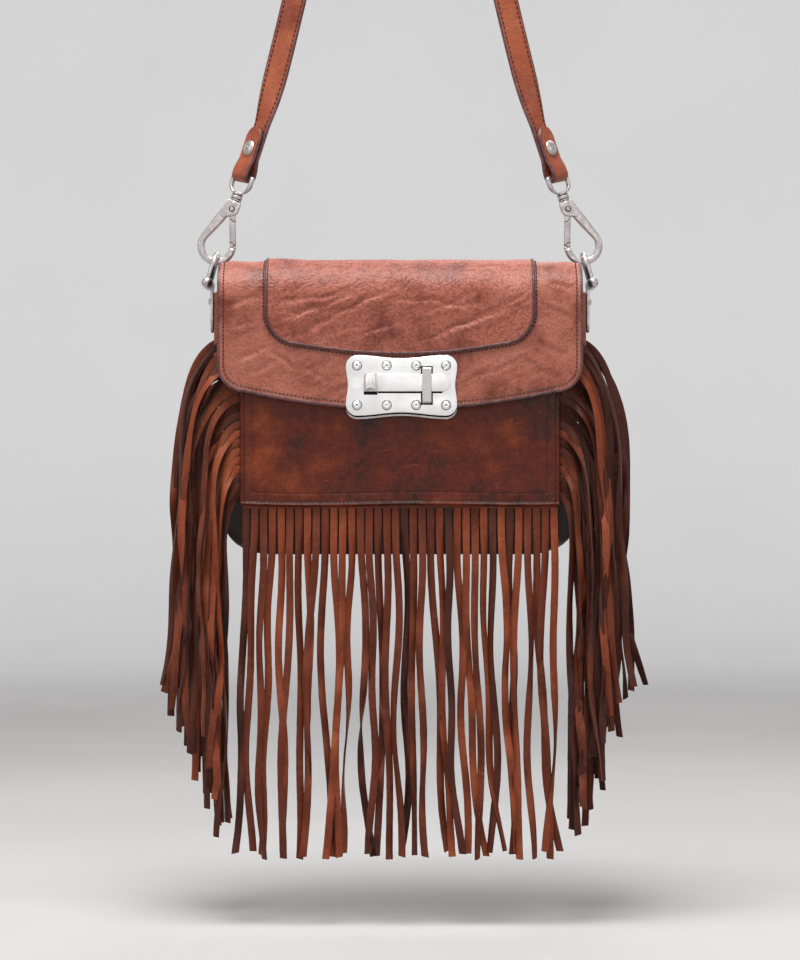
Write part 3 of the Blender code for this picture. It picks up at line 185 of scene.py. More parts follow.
# Leathers: waxed cowhide with fine grain, cloudy dye, wax pull-up and dark painted edges
# Pattern sizes are real ones: pores about 0.5 mm, creases 8 mm apart, dye clouds 30 mm.
def cowhide(name, dark, middle, light, grain, roughness, depth, crease=0.5, scratches=0.0, stretch=(1, 1, 1), shine=0.5):
    """Waxed cowhide. grain is the size of its pebbles in metres, depth their relief in metres."""
    made, tree, shader, where = blank(name, roughness)
    shader.inputs["Specular IOR Level"].default_value = shine
    dye = clouds(tree, where, 0.032, 5.0, 0.6, stretch)
    colour = blend_colour(tree, spread(tree, dye, 0.30, 0.52), dark, middle)
    colour = blend_colour(tree, spread(tree, dye, 0.50, 0.78), colour, light)
    mottle = clouds(tree, where, 0.0045, 4.0, 0.6)
    colour = blend_colour(tree, spread(tree, mottle, 0.35, 0.7, 0.0, 0.22), colour, light)
    bend = add(tree, "ShaderNodeVectorMath", {0: where, 1: add(tree, "ShaderNodeVectorMath", {
        0: add(tree, "ShaderNodeTexNoise", {"Vector": where, "Scale": 90.0, "Detail": 2.0}).outputs["Color"],
        "Scale": 0.006}, operation="SCALE").outputs["Vector"]}, operation="ADD").outputs["Vector"]
    pebbles = add(tree, "ShaderNodeTexVoronoi", {"Vector": bend, "Scale": 1 / grain, "Smoothness": 0.6},
                  feature="SMOOTH_F1").outputs["Distance"]
    fine = clouds(tree, where, grain * 0.45, 3.0, 0.6)
    folds = add(tree, "ShaderNodeMapping", {"Vector": bend, "Rotation": (0, math.radians(-26), 0),
                                            "Scale": (4.5, 1.0, 1.0)}, vector_type="TEXTURE").outputs["Vector"]
    ridges = add(tree, "ShaderNodeTexNoise", {"Vector": folds, "Scale": 1 / 0.0038, "Detail": 2.0,
                                              "Roughness": 0.5}).outputs["Fac"]
    patch = spread(tree, clouds(tree, where, 0.040, 2.0, 0.5), 0.40, 0.62, 0.15, crease)
    line = spread(tree, ridges, 0.36, 0.62, 1.0, 0.0)
    crease_relief_and_shade = add(tree, "ShaderNodeMath", {0: line, 1: patch}, operation="MULTIPLY").outputs[0]
    # Painted shade in the creases: the crease lines darken the colour as well as raising the bump.
    colour = blend_colour(tree, spread(tree, crease_relief_and_shade, 0.0, 1.0, 0.0, 0.50), colour, dark)
    pits = spread(tree, pebbles, 0.40, 0.80, 0.0, 0.18 + 750 * depth)
    colour = blend_colour(tree, pits, colour, dark)
    if scratches:
        long = clouds(tree, bend, 0.002, 2.0, 0.4, (0.10, 1.0, 1.0))
        cut = spread(tree, long, 0.70, 0.75, 0.0, scratches)
        colour = blend_colour(tree, cut, colour, light)
    tree.links.new(colour, shader.inputs["Base Color"])
    gloss = spread(tree, dye, 0.3, 0.75, roughness - 0.07, roughness + 0.09)
    tree.links.new(gloss, shader.inputs["Roughness"])
    low = add(tree, "ShaderNodeBump", {"Height": pebbles, "Distance": depth, "Strength": 0.8}, invert=True)
    mid = add(tree, "ShaderNodeBump", {"Height": fine, "Distance": depth * 0.4, "Strength": 0.6,
                                       "Normal": low.outputs["Normal"]})
    top = add(tree, "ShaderNodeBump", {"Height": crease_relief_and_shade, "Distance": 0.00025, "Strength": 0.7,
                                       "Normal": mid.outputs["Normal"]}, invert=True)
    tree.links.new(top.outputs["Normal"], shader.inputs["Normal"])
    return made


def suede(name, dark, light, nap_tip):
    """Flesh side and cut edges of the leather: fibrous, dry and matt."""
    made, tree, shader, where = blank(name, 0.95)
    nap = clouds(tree, where, 0.0011, 5.0, 0.7, (1, 1, 0.45))
    tone = clouds(tree, where, 0.012, 3.0, 0.6, (1, 1, 0.3))
    colour = blend_colour(tree, spread(tree, tone, 0.3, 0.7), dark, light)
    colour = blend_colour(tree, spread(tree, nap, 0.55, 0.72, 0.0, 0.6), colour, nap_tip)
    tree.links.new(colour, shader.inputs["Base Color"])
    rough = add(tree, "ShaderNodeBump", {"Height": nap, "Distance": 0.0004, "Strength": 0.9})
    tree.links.new(rough.outputs["Normal"], shader.inputs["Normal"])
    shader.inputs["Sheen Weight"].default_value = 0.1
    shader.inputs["Specular IOR Level"].default_value = 0.15
    return made


def wear(name, base, rubbed, size, roughness, metallic=0.0, relief=0.00004):
    """Paint, thread or metal whose tone varies in patches of about size metres."""
    made, tree, shader, where = blank(name, roughness, metallic)
    patches = clouds(tree, where, size, 5.0, 0.6)
    colour = blend_colour(tree, spread(tree, patches, 0.36, 0.66), base, rubbed)
    tree.links.new(colour, shader.inputs["Base Color"])
    gloss = spread(tree, patches, 0.3, 0.7, roughness + 0.08, roughness - 0.06)
    tree.links.new(gloss, shader.inputs["Roughness"])
    fine = clouds(tree, where, size * 0.25, 3.0, 0.6)
    rough = add(tree, "ShaderNodeBump", {"Height": fine, "Distance": relief, "Strength": 0.5})
    tree.links.new(rough.outputs["Normal"], shader.inputs["Normal"])
    return made


FLAP_HIDE = cowhide("waxed_cowhide_flap", "702D1C", "AA6350", "C27D6B", 0.0013, 0.44, 0.0003, 0.7, 0.0, (1, 1, 1), 0.35)
YOKE_HIDE = cowhide("pebbled_cowhide_yoke", "68261A", "A65D4A", "C07A69", 0.0018, 0.46, 0.0004, 0.8, 0.0, (1, 1, 1), 0.35)
FRONT_HIDE = cowhide("waxed_cowhide_front", "1A0502", "571A08", "8C3F1E", 0.0011, 0.38, 0.0002, 0.4, 0.5, (1, 1, 1), 0.28)
BODY_HIDE = cowhide("dark_cowhide_body", "120604", "200C07", "30140C", 0.0012, 0.5, 0.00015, 0.4, 0.0, (1, 1, 1), 0.2)
STRAP_HIDE = cowhide("waxed_cowhide_strap", "722B15", "9C4A2A", "B4643F", 0.0012, 0.38, 0.0002, 0.5)
# Strip hides from light to dark: tone that differs at random. The darker ones also stand as painted shade for strips in
# the rear layers.
STRIP_TONES = (("642812", "853B1E", "9E5535"), ("4A1A0C", "6B2D16", "84442A"), ("30100A", "4A1D0E", "62301C"))
STRIP_HIDES = [cowhide(f"waxed_cowhide_strips_{n + 1}", *tones, 0.0012, 0.48, 0.0002, 0.5, 0.25, (1, 1, 0.3), 0.25)
               for n, tones in enumerate(STRIP_TONES)]
STRIP_SUEDES = [suede("brown_suede", "5A2817", "7E402B", "A8745A"), suede("dark_suede", "2E120B", "50261A", "7A4A38")]
EDGE_PAINT = wear("dark_edge_paint", "48282A", "6C4442", 0.004, 0.42)
PIPING_HIDE = wear("thin_dark_cowhide", "45221F", "663A35", 0.0025, 0.5, 0.0, 0.0001)
THREAD = wear("waxed_linen_thread", "2E0F09", "4A1C12", 0.0015, 0.5, 0.0, 0.0002)
ANTIQUE_NICKEL = wear("antiqued_cast_nickel", "B4ADAC", "D0CAC8", 0.005, 0.34, 1.0, 0.000008)
# Dark nickel for the painted shade on the lock, and for the dark bands, rings and lines on the hooks.
DARK_NICKEL = wear("dark_nickel_marks_and_painted_shade", "1A1514", "2C2422", 0.003, 0.5, 1.0)
SATIN_NICKEL = wear("satin_nickel_plate", "EFEDEC", "F6F4F3", 0.012, 0.36, 1.0, 0.000003)
SHADED_NICKEL = wear("satin_nickel_rear_plate", "B8B3B1", "D2CDCB", 0.006, 0.40, 1.0, 0.000006)
GRAINED_NICKEL = wear("grained_nickel_keeper", "BEB8B6", "D8D4D2", 0.0006, 0.42, 1.0, 0.00004)
MAGNET_STEEL = wear("plated_magnet_steel", "8A8886", "A5A3A1", 0.004, 0.35, 1.0)


def piece(name, points, faces, hides, body, slot, *nodes, marks=None):
    """New piece of the bag from points and faces. marks gives each face's material."""
    mesh = bpy.data.meshes.new(name)
    mesh.from_pydata([tuple(p) for p in points], [], faces)
    for hide in hides:
        mesh.materials.append(hide)
    if marks:
        mesh.polygons.foreach_set("material_index", marks)
    mesh.update()
    mesh.shade_smooth()
    mesh.set_sharp_from_angle(angle=math.radians(42))
    made = bpy.data.objects.new(name, mesh)
    bpy.context.scene.collection.objects.link(made)
    if body:
        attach(made, body)
    if nodes:
        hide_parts(*nodes)
    return made


def tube(points, profile, widths=None, closed=False):
    """Points and faces of a profile swept along (point, side, front) stations.

    The profile is a ring of (sideways, forwards) offsets.
    """
    verts, faces = [], []
    n = len(profile)
    for i, (point, side, front) in enumerate(points):
        share = widths[i] if widths else 1.0
        verts += [point + side * (a * share) + front * (b * share) for a, b in profile]
    count = len(points)
    for i in range(count if closed else count - 1):
        j = (i + 1) % count
        faces += [(i * n + k, i * n + (k + 1) % n, j * n + (k + 1) % n, j * n + k) for k in range(n)]
    if not closed:
        faces.append(tuple(range(n - 1, -1, -1)))
        faces.append(tuple(range((count - 1) * n, count * n)))
    return verts, faces


def join(parts):
    """One list of points and one of faces from several."""
    verts, faces = [], []
    for points, quads in parts:
        base = len(verts)
        verts += points
        faces += [tuple(i + base for i in quad) for quad in quads]
    return verts, faces


def ring(half_width, half_depth, count=10, power=2.0):
    """Ring of offsets: an ellipse, or a rounded box where the power is higher."""
    out = []
    for k in range(count):
        a = 2 * math.pi * (k + 0.5) / count
        c, s = math.cos(a), math.sin(a)
        out.append((half_width * math.copysign(abs(c) ** (2 / power), c),
                    half_depth * math.copysign(abs(s) ** (2 / power), s)))
    return out


def framed(line, out):
    """Stations along a line of points. out(i) is the surface's outward direction there."""
    stations = []
    for i, point in enumerate(line):
        along = (line[min(i + 1, len(line) - 1)] - line[max(i - 1, 0)]).normalized()
        front = out(i)
        front = (front - along * front.dot(along)).normalized()
        stations.append((point, front.cross(along), front))
    return stations


def along_line(line, pitch):
    """Points at equal distances along a line, with the share of its index."""
    places, left = [], pitch / 2
    for i in range(len(line) - 1):
        step = (line[i + 1] - line[i]).length
        while left < step:
            places.append((line[i].lerp(line[i + 1], left / step), i + left / step))
            left += pitch
        left -= step
    return places


def stitches(line, out, pitch=0.0026, size=0.0019, thick=0.00044):
    """Thread stitches along a line: short rounded threads that dip into the leather at both ends."""
    parts = []
    for point, i in along_line(line, pitch):
        j = min(int(i), len(line) - 2)
        along = (line[j + 1] - line[j]).normalized()
        front = out(j)
        front = (front - along * front.dot(along)).normalized()
        side = front.cross(along)
        stations = [(point + along * (size * t) + front * (thick * lift), side, front)
                    for t, lift in ((-0.5, -0.9), (-0.36, 0.35), (0, 0.7), (0.36, 0.35), (0.5, -0.9))]
        parts.append(tube(stations, ring(thick, thick, 6), (0.5, 1, 1.05, 1, 0.5)))
    return join(parts)


def smooth(t):
    t = min(max(t, 0.0), 1.0)
    return t * t * (3 - 2 * t)


def arc(cx, cz, radius, start, end, steps):
    """Points on an arc, with angles in degrees."""
    turns = [math.radians(start + (end - start) * k / steps) for k in range(steps + 1)]
    return [(cx + radius * math.cos(a), cz + radius * math.sin(a)) for a in turns]


def u_line(half_width, top, bottom, corner, step=0.003):
    """Panel's outline as (x, z) points: down the left side, along the bottom, up the right side."""
    down = max(int((top - bottom - corner) / step), 1)
    left = [(-half_width, top + (bottom + corner - top) * k / down) for k in range(down)]
    turn = max(int(corner * 1.57 / step), 4)
    left += arc(-half_width + corner, bottom + corner, corner, 180, 270, turn)
    flat = max(int(2 * (half_width - corner) / step), 1)
    middle = [(-(half_width - corner) * (1 - k / flat), bottom) for k in range(1, flat)]
    return left + middle + [(0.0, bottom)] + [(-x, z) for x, z in reversed(left + middle)]


def sheet(outline_grid, thickness, inward):
    """Closed sheet: a grid of outer points and the same grid moved inwards by the thickness."""
    rows, cols = len(outline_grid), len(outline_grid[0])
    outer = [p for row in outline_grid for p in row]
    inner = [p + inward(p) * thickness for p in outer]
    total = rows * cols
    faces, marks = [], []
    for r in range(rows - 1):
        for c in range(cols - 1):
            a = r * cols + c
            faces.append((a, a + 1, a + cols + 1, a + cols))
            faces.append((a + total, a + cols + total, a + cols + 1 + total, a + 1 + total))
            marks += [0, 1]
    edge = [c for c in range(cols)] + [r * cols + cols - 1 for r in range(1, rows)]
    edge += [(rows - 1) * cols + c for c in range(cols - 2, -1, -1)] + [r * cols for r in range(rows - 2, 0, -1)]
    for a, b in zip(edge, edge[1:] + edge[:1]):
        faces.append((b, a, a + total, b + total))
        marks.append(2)
    return outer + inner, faces, marks


# Body: back panel over the top edge, flat front panel and the gusset between them
# Dark waxed cowhide, 2 mm thick, stitched together near its edges.
LEATHER = 0.002
OUT_Y = 0.028                # outer faces of the front and back panels
HINGE_Y = 0.008              # the flap's fold line
BODY_HEIGHT = 0.193


def over_top(distance, level, bend, lift=0.0):
    """Point (forward, up) and outward direction of leather that runs level and then hangs."""
    quarter = bend * math.pi / 2
    if distance < level:
        return distance, lift, (0.0, 1.0)
    if distance < level + quarter:
        a = (distance - level) / bend
        return (level + (bend + lift) * math.sin(a), (bend + lift) * math.cos(a) - bend,
                (math.sin(a), math.cos(a)))
    return level + bend + lift, level + quarter - bend - distance, (1.0, 0.0)


def soft(x, z, seed, size=0.035):
    """Gentle unevenness of soft leather, from -1 to 1."""
    return noise.noise(Vector((x / size, z / size, seed)))


def back_point(x, s, lift=0.0):
    forward, up, out = over_top(s, OUT_Y - 0.020 - HINGE_Y, 0.020, lift)
    swell = 0.0012 * smooth(s / 0.05) * (1 + soft(x, up, 3.0)) if s > 0.03 else 0.0
    point = world(x, HINGE_Y + forward + swell * out[0], up + swell * out[1])
    return point, Vector((0, out[0], out[1]))


def corner_edge(x, half, corner):
    """How much higher a sheet's lower edge is at x, because its corners are round."""
    outer = max(abs(x) - (half - corner), 0.0)
    return corner - math.sqrt(max(corner ** 2 - outer ** 2, 0.0))


def spaced(half, corner, count, turn):
    """Positions across a sheet, closer together at its round corners."""
    straight = half - corner
    inner = [straight * (2 * i / count - 1) for i in range(count + 1)]
    side = [straight + corner * math.sin(math.pi / 2 * (k + 1) / turn) for k in range(turn)]
    return [-x for x in reversed(side)] + inner + side


back_half = 0.119
back_end = OUT_Y - 0.020 - HINGE_Y + 0.020 * math.pi / 2 - 0.020 + BODY_HEIGHT
grid, outs = [], {}
for k in range(71):
    row = []
    for x in spaced(back_half, 0.024, 60, 12):
        s = 0.0003 + (back_end - corner_edge(x, back_half, 0.024) - 0.0003) * k / 70
        point, out = back_point(x, s)
        outs[tuple(point)] = out
        row.append(point)
    grid.append(row)
points, faces, marks = sheet(grid, LEATHER, lambda p: -outs[tuple(p)])
piece("back_leather", points, faces, [BODY_HIDE, BODY_HIDE, EDGE_PAINT], "bag", "body_leather", "back_panel",
      marks=marks)

outline = u_line(0.107, -0.014, -BODY_HEIGHT, 0.019)
inner = [(x * 0.5, -0.10 + (z + 0.10) * 0.5) for x, z in outline]
points, faces, marks = [], [], []
for y in (-0.026, -0.028):
    for line in (outline, inner):
        points += [world(x, y, z) for x, z in line]
n = len(outline)
for k in range(n - 1):
    faces += [(k, k + 1, n + k + 1, n + k), (3 * n + k, 3 * n + k + 1, 2 * n + k + 1, 2 * n + k)]
    faces.append((2 * n + k, 2 * n + k + 1, k + 1, k))
faces += [tuple(range(n, 2 * n)), tuple(range(4 * n - 1, 3 * n - 1, -1))]
faces += [(n - 1, 0, n, 2 * n - 1), (2 * n, 3 * n - 1, 4 * n - 1, 3 * n), (0, n - 1, 3 * n - 1, 2 * n)]
piece("front_leather", points, faces, [BODY_HIDE], "bag", "body_leather", "front_panel")


def gusset_half(y):
    t = min(max((0.004 - y) / (0.004 + 0.0257), 0.0), 1.0)
    return back_half + (0.106 - back_half) * t * t * (3 - 2 * t)


gusset_rows = [0.0240 - (0.0240 + 0.0257) * k / 24 for k in range(25)]
grid = []
for y in gusset_rows:
    half = gusset_half(y)
    corner = 0.018 + 0.006 * (half - 0.106) / (back_half - 0.106)
    line = u_line(half, -0.0145, -BODY_HEIGHT + 0.001, corner, 0.0035)
    want = 150
    length = [0.0]
    for a, b in zip(line, line[1:]):
        length.append(length[-1] + math.hypot(b[0] - a[0], b[1] - a[1]))
    row, j = [], 0
    for k in range(want + 1):
        goal = length[-1] * k / want
        while j < len(line) - 2 and length[j + 1] < goal:
            j += 1
        t = (goal - length[j]) / max(length[j + 1] - length[j], 1e-9)
        x = line[j][0] + (line[j + 1][0] - line[j][0]) * t
        z = line[j][1] + (line[j + 1][1] - line[j][1]) * t
        row.append(world(x, y, z))
    grid.append(row)
middle = world(0, 0, -0.10)


def towards_middle(p):
    away = Vector((middle.x - p.x, 0, middle.z - p.z))
    if p.z > BAG_Z - 0.165:
        away = Vector((-math.copysign(1, p.x), 0, 0))
    elif abs(p.x) < 0.085:
        away = Vector((0, 0, 1))
    return away.normalized()


points, faces, marks = sheet(grid, LEATHER, towards_middle)
piece("gusset_leather", points, faces, [BODY_HIDE, BODY_HIDE, EDGE_PAINT], "bag", "body_leather", "gusset",
      marks=marks)

# Thread round the back panel, 4 mm inside its edge
line = [back_point(x, over, 0.0)[0] for x, over in
        [(-back_half + 0.004, 0.012 + k * 0.003) for k in range(60)]]
line = [back_point(x, OUT_Y - 0.020 - HINGE_Y + 0.020 * math.pi / 2 - 0.020 - z)[0]
        for x, z in u_line(back_half - 0.004, -0.020, -BODY_HEIGHT + 0.004, 0.020)]
points, faces = stitches(line, lambda i: Vector((0, 1, 0)))
piece("back_thread", points, faces, [THREAD], "bag", "body_leather")

# Front panel: waxed cowhide, 1.8 mm, stitched over the root of the front fringe
# Its edges are turned and rolled, and its face is scratched.
POCKET_HALF = 0.1056
POCKET_FACE = -0.0318
POCKET_LOW = -0.1614
ROLL = 0.0016


def pocket_depth(x, z):
    """How far the panel's face stands out: turned edges, a pressed line and soft dents."""
    side = POCKET_HALF - abs(x)
    low = z - POCKET_LOW
    edge = min(side, low)
    roll = ROLL if edge > ROLL else math.sqrt(max(ROLL ** 2 - (ROLL - edge) ** 2, 0.0))
    stitch = 0.00035 * math.exp(-((side - 0.0030) / 0.0006) ** 2) * (low > 0.003)
    stitch += 0.00035 * math.exp(-((low - 0.0030) / 0.0006) ** 2) * (side > 0.003)
    line = 0.00045 * math.exp(-((side - 0.0085) / 0.0005) ** 2) * (low > 0.009)
    line += 0.00045 * math.exp(-((low - 0.0088) / 0.0005) ** 2) * (side > 0.009)
    dents = 0.00035 * soft(x, z, 8.0, 0.018) + 0.0006 * soft(x, z, 9.0, 0.05)
    bead = 0.0011 * math.exp(-((low - 0.0014) / 0.0008) ** 2) + 0.0005 * math.exp(-((side - 0.0013) / 0.0008) ** 2)
    return roll - ROLL - stitch - line + bead + dents * smooth(edge / 0.012)


xs = [k * 0.0011 for k in range(97) if k * 0.0011 < POCKET_HALF - 0.012]
xs += [POCKET_HALF - d for d in [0.012 - 0.0005 * k for k in range(21)] + [0.0016, 0.0012, 0.0008, 0.0004, 0.00012, 0]]
xs = [-x for x in reversed(xs[1:])] + xs
zs = [-0.020 - k * 0.0014 for k in range(94) if -0.020 - k * 0.0014 > POCKET_LOW + 0.012]
zs += [POCKET_LOW + d for d in [0.012 - 0.0005 * k for k in range(21)] + [0.0016, 0.0012, 0.0008, 0.0004, 0.00012, 0]]


def pocket_point(x, z):
    sag = 0.0006 * math.sin(x * 38 + 1) + 0.0008 * (x / POCKET_HALF) ** 4
    low = z + (sag if z < POCKET_LOW + 0.02 else sag * smooth((-0.06 - z) / 0.08))
    return world(x, POCKET_FACE - pocket_depth(x, z) + 0.0, low)


grid = [[pocket_point(x, z) for x in xs] for z in zs]
points, faces, marks = sheet(grid, 0.0003, lambda p: Vector((0, 1, 0)))
count = len(xs) * len(zs)
for i in range(count, 2 * count):
    points[i] = Vector((points[i].x, BAG_Y + POCKET_FACE + 0.0018, points[i].z))
piece("pocket_leather", points, faces, [FRONT_HIDE, BODY_HIDE, FRONT_HIDE], "bag", "waxed_leather",
      "pocket_panel", marks=marks)
line = [pocket_point(x, z) for x, z in u_line(POCKET_HALF - 0.0030, -0.024, POCKET_LOW + 0.0030, 0.0015)]
points, faces = stitches(line, lambda i: Vector((0, -1, 0)))
piece("pocket_thread", points, faces, [THREAD], "bag", "waxed_leather")

# Fringes: five strips of cowhide, each cut into a comb of 4.8 mm wide strips
# Smooth waxed face and rough suede back. The strips leave their seam, arch out and hang, twisting a little.
STRIP_WIDTH = 0.0048
STRIP_THICK = 0.0014
STRIP_PITCH = 0.0058
STRIP_LENGTH = 0.232
SIDE_EXTRA = 0.020
LAYER = 0.0024
FRINGE_TOP = -0.049


def ribbon(start, across, heading_at, length, depth, settle, twist, level, rng, y0, tilt, flare):
    """One strip as stations down its length, with slow waves, twists and a free lower end.

    tilt turns the strip about its length once it has left the seam, flare bends its tip.
    """
    x, z = start
    step = 0.0028
    count = int(length / step)
    turns = [rng.uniform(-1, 1) for _ in range(4)]
    flip = rng.random() < 0.10
    flip_at = rng.uniform(0.3, 0.75)
    flare += rng.uniform(-0.14, 0.14)
    sway = rng.uniform(0.0008, 0.0034)
    sway_size = rng.uniform(0.035, 0.08)
    phase = rng.uniform(0, 2 * math.pi)
    stations, widths, last = [], [], Vector((across[0], 0, across[1]))
    for k in range(count + 1):
        s = k * length / count
        heading = heading_at(s) + flare * smooth((s / length - 0.55) / 0.45)
        along = Vector((math.cos(heading), 0, -math.sin(heading)))
        if k:
            x += along.x * length / count
            z += along.z * length / count
        free = smooth((s - 0.02) / 0.10)
        y = depth * smooth((s - level) / settle)
        y -= sway * free * math.sin(2 * math.pi * s / sway_size + phase)
        turn = twist * smooth((s - settle) / (0.6 * STRIP_LENGTH))
        turn += tilt * smooth((s - level) / 0.03) * (1 - 0.5 * smooth(s / length))
        turn += free * (0.8 * turns[0] * math.sin(9.0 * s / 0.2 + turns[1] * 3) + 0.7 * turns[2] * s / length)
        if flip:
            turn += math.pi * smooth((s / length - flip_at) / 0.34 + 0.5) * (1 if turns[3] > 0 else -1)
        wide = Vector((math.sin(heading), 0, math.cos(heading)))
        if wide.dot(last) < 0:
            wide = -wide
        last = wide
        face = Vector((0, -1, 0))
        side = wide * math.cos(turn) + face * math.sin(turn)
        front = face * math.cos(turn) - wide * math.sin(turn)
        stations.append((world(x, y0 + y, z), side, front))
        widths.append(1.0 + 0.05 * noise.noise(Vector((s / 0.006, turns[0] * 9, 1.0))))
    return stations, widths


def strip_mesh(stations, widths, rng, shade_bias=0.0, turned=0.12):
    """A strip's points, faces and face marks: a slightly cupped smooth face, suede back and edges.

    turned is the share of strips that show their suede side.
    """
    # Painted shade: the bias moves strips that hang behind towards the darker hides and the dark suede.
    tone = rng.random() + shade_bias
    skin = 0 if tone < 0.50 else 1 if tone < 0.86 else 2
    flesh = 3 if tone < 0.6 else 4
    if rng.random() < turned:
        skin, flesh = flesh, skin
    half, thick = STRIP_WIDTH / 2, STRIP_THICK / 2
    profile = [(-half, thick * 0.55), (-0.55 * half, thick), (0, thick * 1.12), (0.55 * half, thick),
               (half, thick * 0.55), (half * 0.98, -thick * 0.8), (0, -thick * 0.75), (-half * 0.98, -thick * 0.8)]
    verts, faces = [], []
    n = len(profile)
    for (point, side, front), share in zip(stations, widths):
        verts += [point + side * (a * share) + front * b for a, b in profile]
    slant = rng.uniform(-0.35, 0.35)
    along = (stations[-1][0] - stations[-2][0]).normalized()
    for k in range(n):
        verts[len(verts) - n + k] += along * (slant * profile[k][0])
    marks = []
    for i in range(len(stations) - 1):
        for k in range(n):
            faces.append((i * n + k, i * n + (k + 1) % n, (i + 1) * n + (k + 1) % n, (i + 1) * n + k))
            marks.append(skin if k < 4 else 4 if k in (4, 7) else flesh)
    faces += [tuple(range(n - 1, -1, -1)), tuple(range(len(verts) - n, len(verts)))]
    return verts, faces, marks + [4, 4]


def fringe(name, strips, header, node_name):
    """Joins the strips and the header that they are cut from into one piece."""
    verts, faces, marks = [], [], []
    for points, quads, kinds in strips + [header]:
        base = len(verts)
        verts += points
        faces += [tuple(i + base for i in quad) for quad in quads]
        marks += kinds
    piece(name, verts, faces, STRIP_HIDES + STRIP_SUEDES, "bag", "fringe_leather", *node_name, marks=marks)


def header_box(corners, y0):
    """Uncut band of a fringe, from its four (x, z) corners."""
    half = STRIP_THICK / 2
    points = [world(x, y0 + y, z) for y in (-half, half) for x, z in corners]
    faces = [(0, 1, 2, 3), (7, 6, 5, 4), (0, 4, 5, 1), (1, 5, 6, 2), (2, 6, 7, 3), (3, 7, 4, 0)]
    return points, faces, [1, 4, 4, 4, 4, 4]


front_y = -0.0290
back_y = 0.0250
rng = random.Random(3)
finer = random.Random(30)
strips = []
for i in range(36):
    x = STRIP_PITCH * (i - 17.5)
    length = STRIP_LENGTH * rng.uniform(0.975, 1.0)
    lean = rng.uniform(-0.03, 0.03) - 0.02 * x / POCKET_HALF
    wave = rng.uniform(0.03, 0.085)
    period = rng.uniform(0.09, 0.17)
    phase = rng.uniform(0, 2 * math.pi)

    def heading_at(s, lean=lean, wave=wave, period=period, phase=phase):
        return math.pi / 2 + smooth(s / 0.0464) * (lean + wave * math.sin(2 * math.pi * s / period + phase))

    twist = rng.uniform(-0.2, 0.2)
    strips.append(strip_mesh(*ribbon((x, POCKET_LOW - 0.001), (1, 0), heading_at, length, -LAYER * (i % 3),
                                     0.03, twist, 0.004, finer, front_y, finer.uniform(-0.65, 0.65), 0.0), finer))
half = STRIP_PITCH * 17.5 + STRIP_WIDTH / 2
band = [(-half, POCKET_LOW + 0.003), (half, POCKET_LOW + 0.003), (half, POCKET_LOW - 0.001), (-half, POCKET_LOW - 0.001)]
fringe("front_fringe_low", strips, header_box(band, front_y), ["front_fringe_bottom"])

for node_name, side, y0, root, reach, layers, seed in (
        ("front_fringe_left", -1, front_y, 0.104, (0.049, 0.012), (1, 0, -1, -2), 11),
        ("front_fringe_right", 1, front_y, 0.104, (0.046, 0.012), (1, 0, -1, -2), 12),
        ("back_fringe_left", -1, back_y, 0.118, (0.039, 0.010), (0, 1, 2, 3), 13),
        ("back_fringe_right", 1, back_y, 0.118, (0.039, 0.010), (0, 1, 2, 3), 14)):
    rng = random.Random(seed)
    finer = random.Random(seed * 7)
    strips = []
    for i in range(19):
        z = FRINGE_TOP - i * STRIP_PITCH
        turn = (reach[0] + (reach[1] - reach[0]) * (i / 18) ** 0.9) / 1.3708 * rng.uniform(0.80, 1.10)
        length = STRIP_LENGTH * rng.uniform(0.95, 1.0) + SIDE_EXTRA * (1 - i / 18)
        wave = rng.uniform(0.04, 0.10)
        period = rng.uniform(0.08, 0.16)
        phase = rng.uniform(0, 2 * math.pi)

        def heading_at(s, side=side, turn=turn, wave=wave, period=period, phase=phase):
            down = math.pi / 2 * (1 - math.exp(-s / turn))
            sway = smooth(s / 0.058) * wave * math.sin(2 * math.pi * s / period + phase)
            return down + sway if side > 0 else math.pi - down - sway

        twist = rng.uniform(-0.15, 0.15)
        # Strips in the rear layers are pushed towards darker hides, as painted shade.
        strips.append(strip_mesh(*ribbon((side * root, z), (0, -1), heading_at, length,
                                         layers[i % 4] * LAYER, 0.010 + 0.5 * turn, twist, 0.005, finer, y0,
                                         finer.uniform(0.5, 1.35) * (1.0 if y0 < 0 else 0.3), -0.14 * side * (i < 2)),
                                 finer, 0.02 + 0.2 * (layers[i % 4] + 2), 0.45))
    top = FRINGE_TOP + STRIP_WIDTH / 2
    low = FRINGE_TOP - 18 * STRIP_PITCH - STRIP_WIDTH / 2
    near, far = side * (root - 0.004), side * root
    band = [(near, top), (far, top), (far, low), (near, low)]
    fringe(node_name + "_strips", strips, header_box(band, y0), [node_name])

# Flap: waxed cowhide, 2.4 mm, in one sheet that folds over the top edge
# Its edge is painted dark and stitched 4 mm inside. Soft creases run to its corners.
FLAP_HALF = 0.120
FLAP_THICK = 0.0024
LEVEL = 0.0226
BEND = 0.024
STRAIGHT = LEVEL + BEND * math.pi / 2 - BEND
CREASES = (
    (-80, -40, -28, -21, 0.55), (-73, -52, 0, -15, 0.45), (-49, -58, 2, -39, 0.40), (-81, -28, -33, -20, 0.35),
    (-78, -34, -45, -33, 0.30), (10, -54, 76, -30, 0.40), (-12, -24, 60, -31, 0.28), (30, -47, 84, -22, 0.35),
    (20, -34, 50, -20, 0.25), (-114, -12, -99, -8, 0.35), (-115, -30, -92, -24, 0.40), (-113, -44, -95, -40, 0.30),
    (-106, -66, -86, -56, 0.50), (-99, -74, -80, -66, 0.40), (-86, -60, -66, -73, 0.45), (-66, -69, -44, -80, 0.35),
    (115, -20, 98, -14, 0.35), (113, -38, 94, -30, 0.40), (108, -62, 88, -52, 0.50), (100, -76, 78, -62, 0.45),
    (82, -62, 62, -74, 0.40), (64, -68, 46, -80, 0.35))


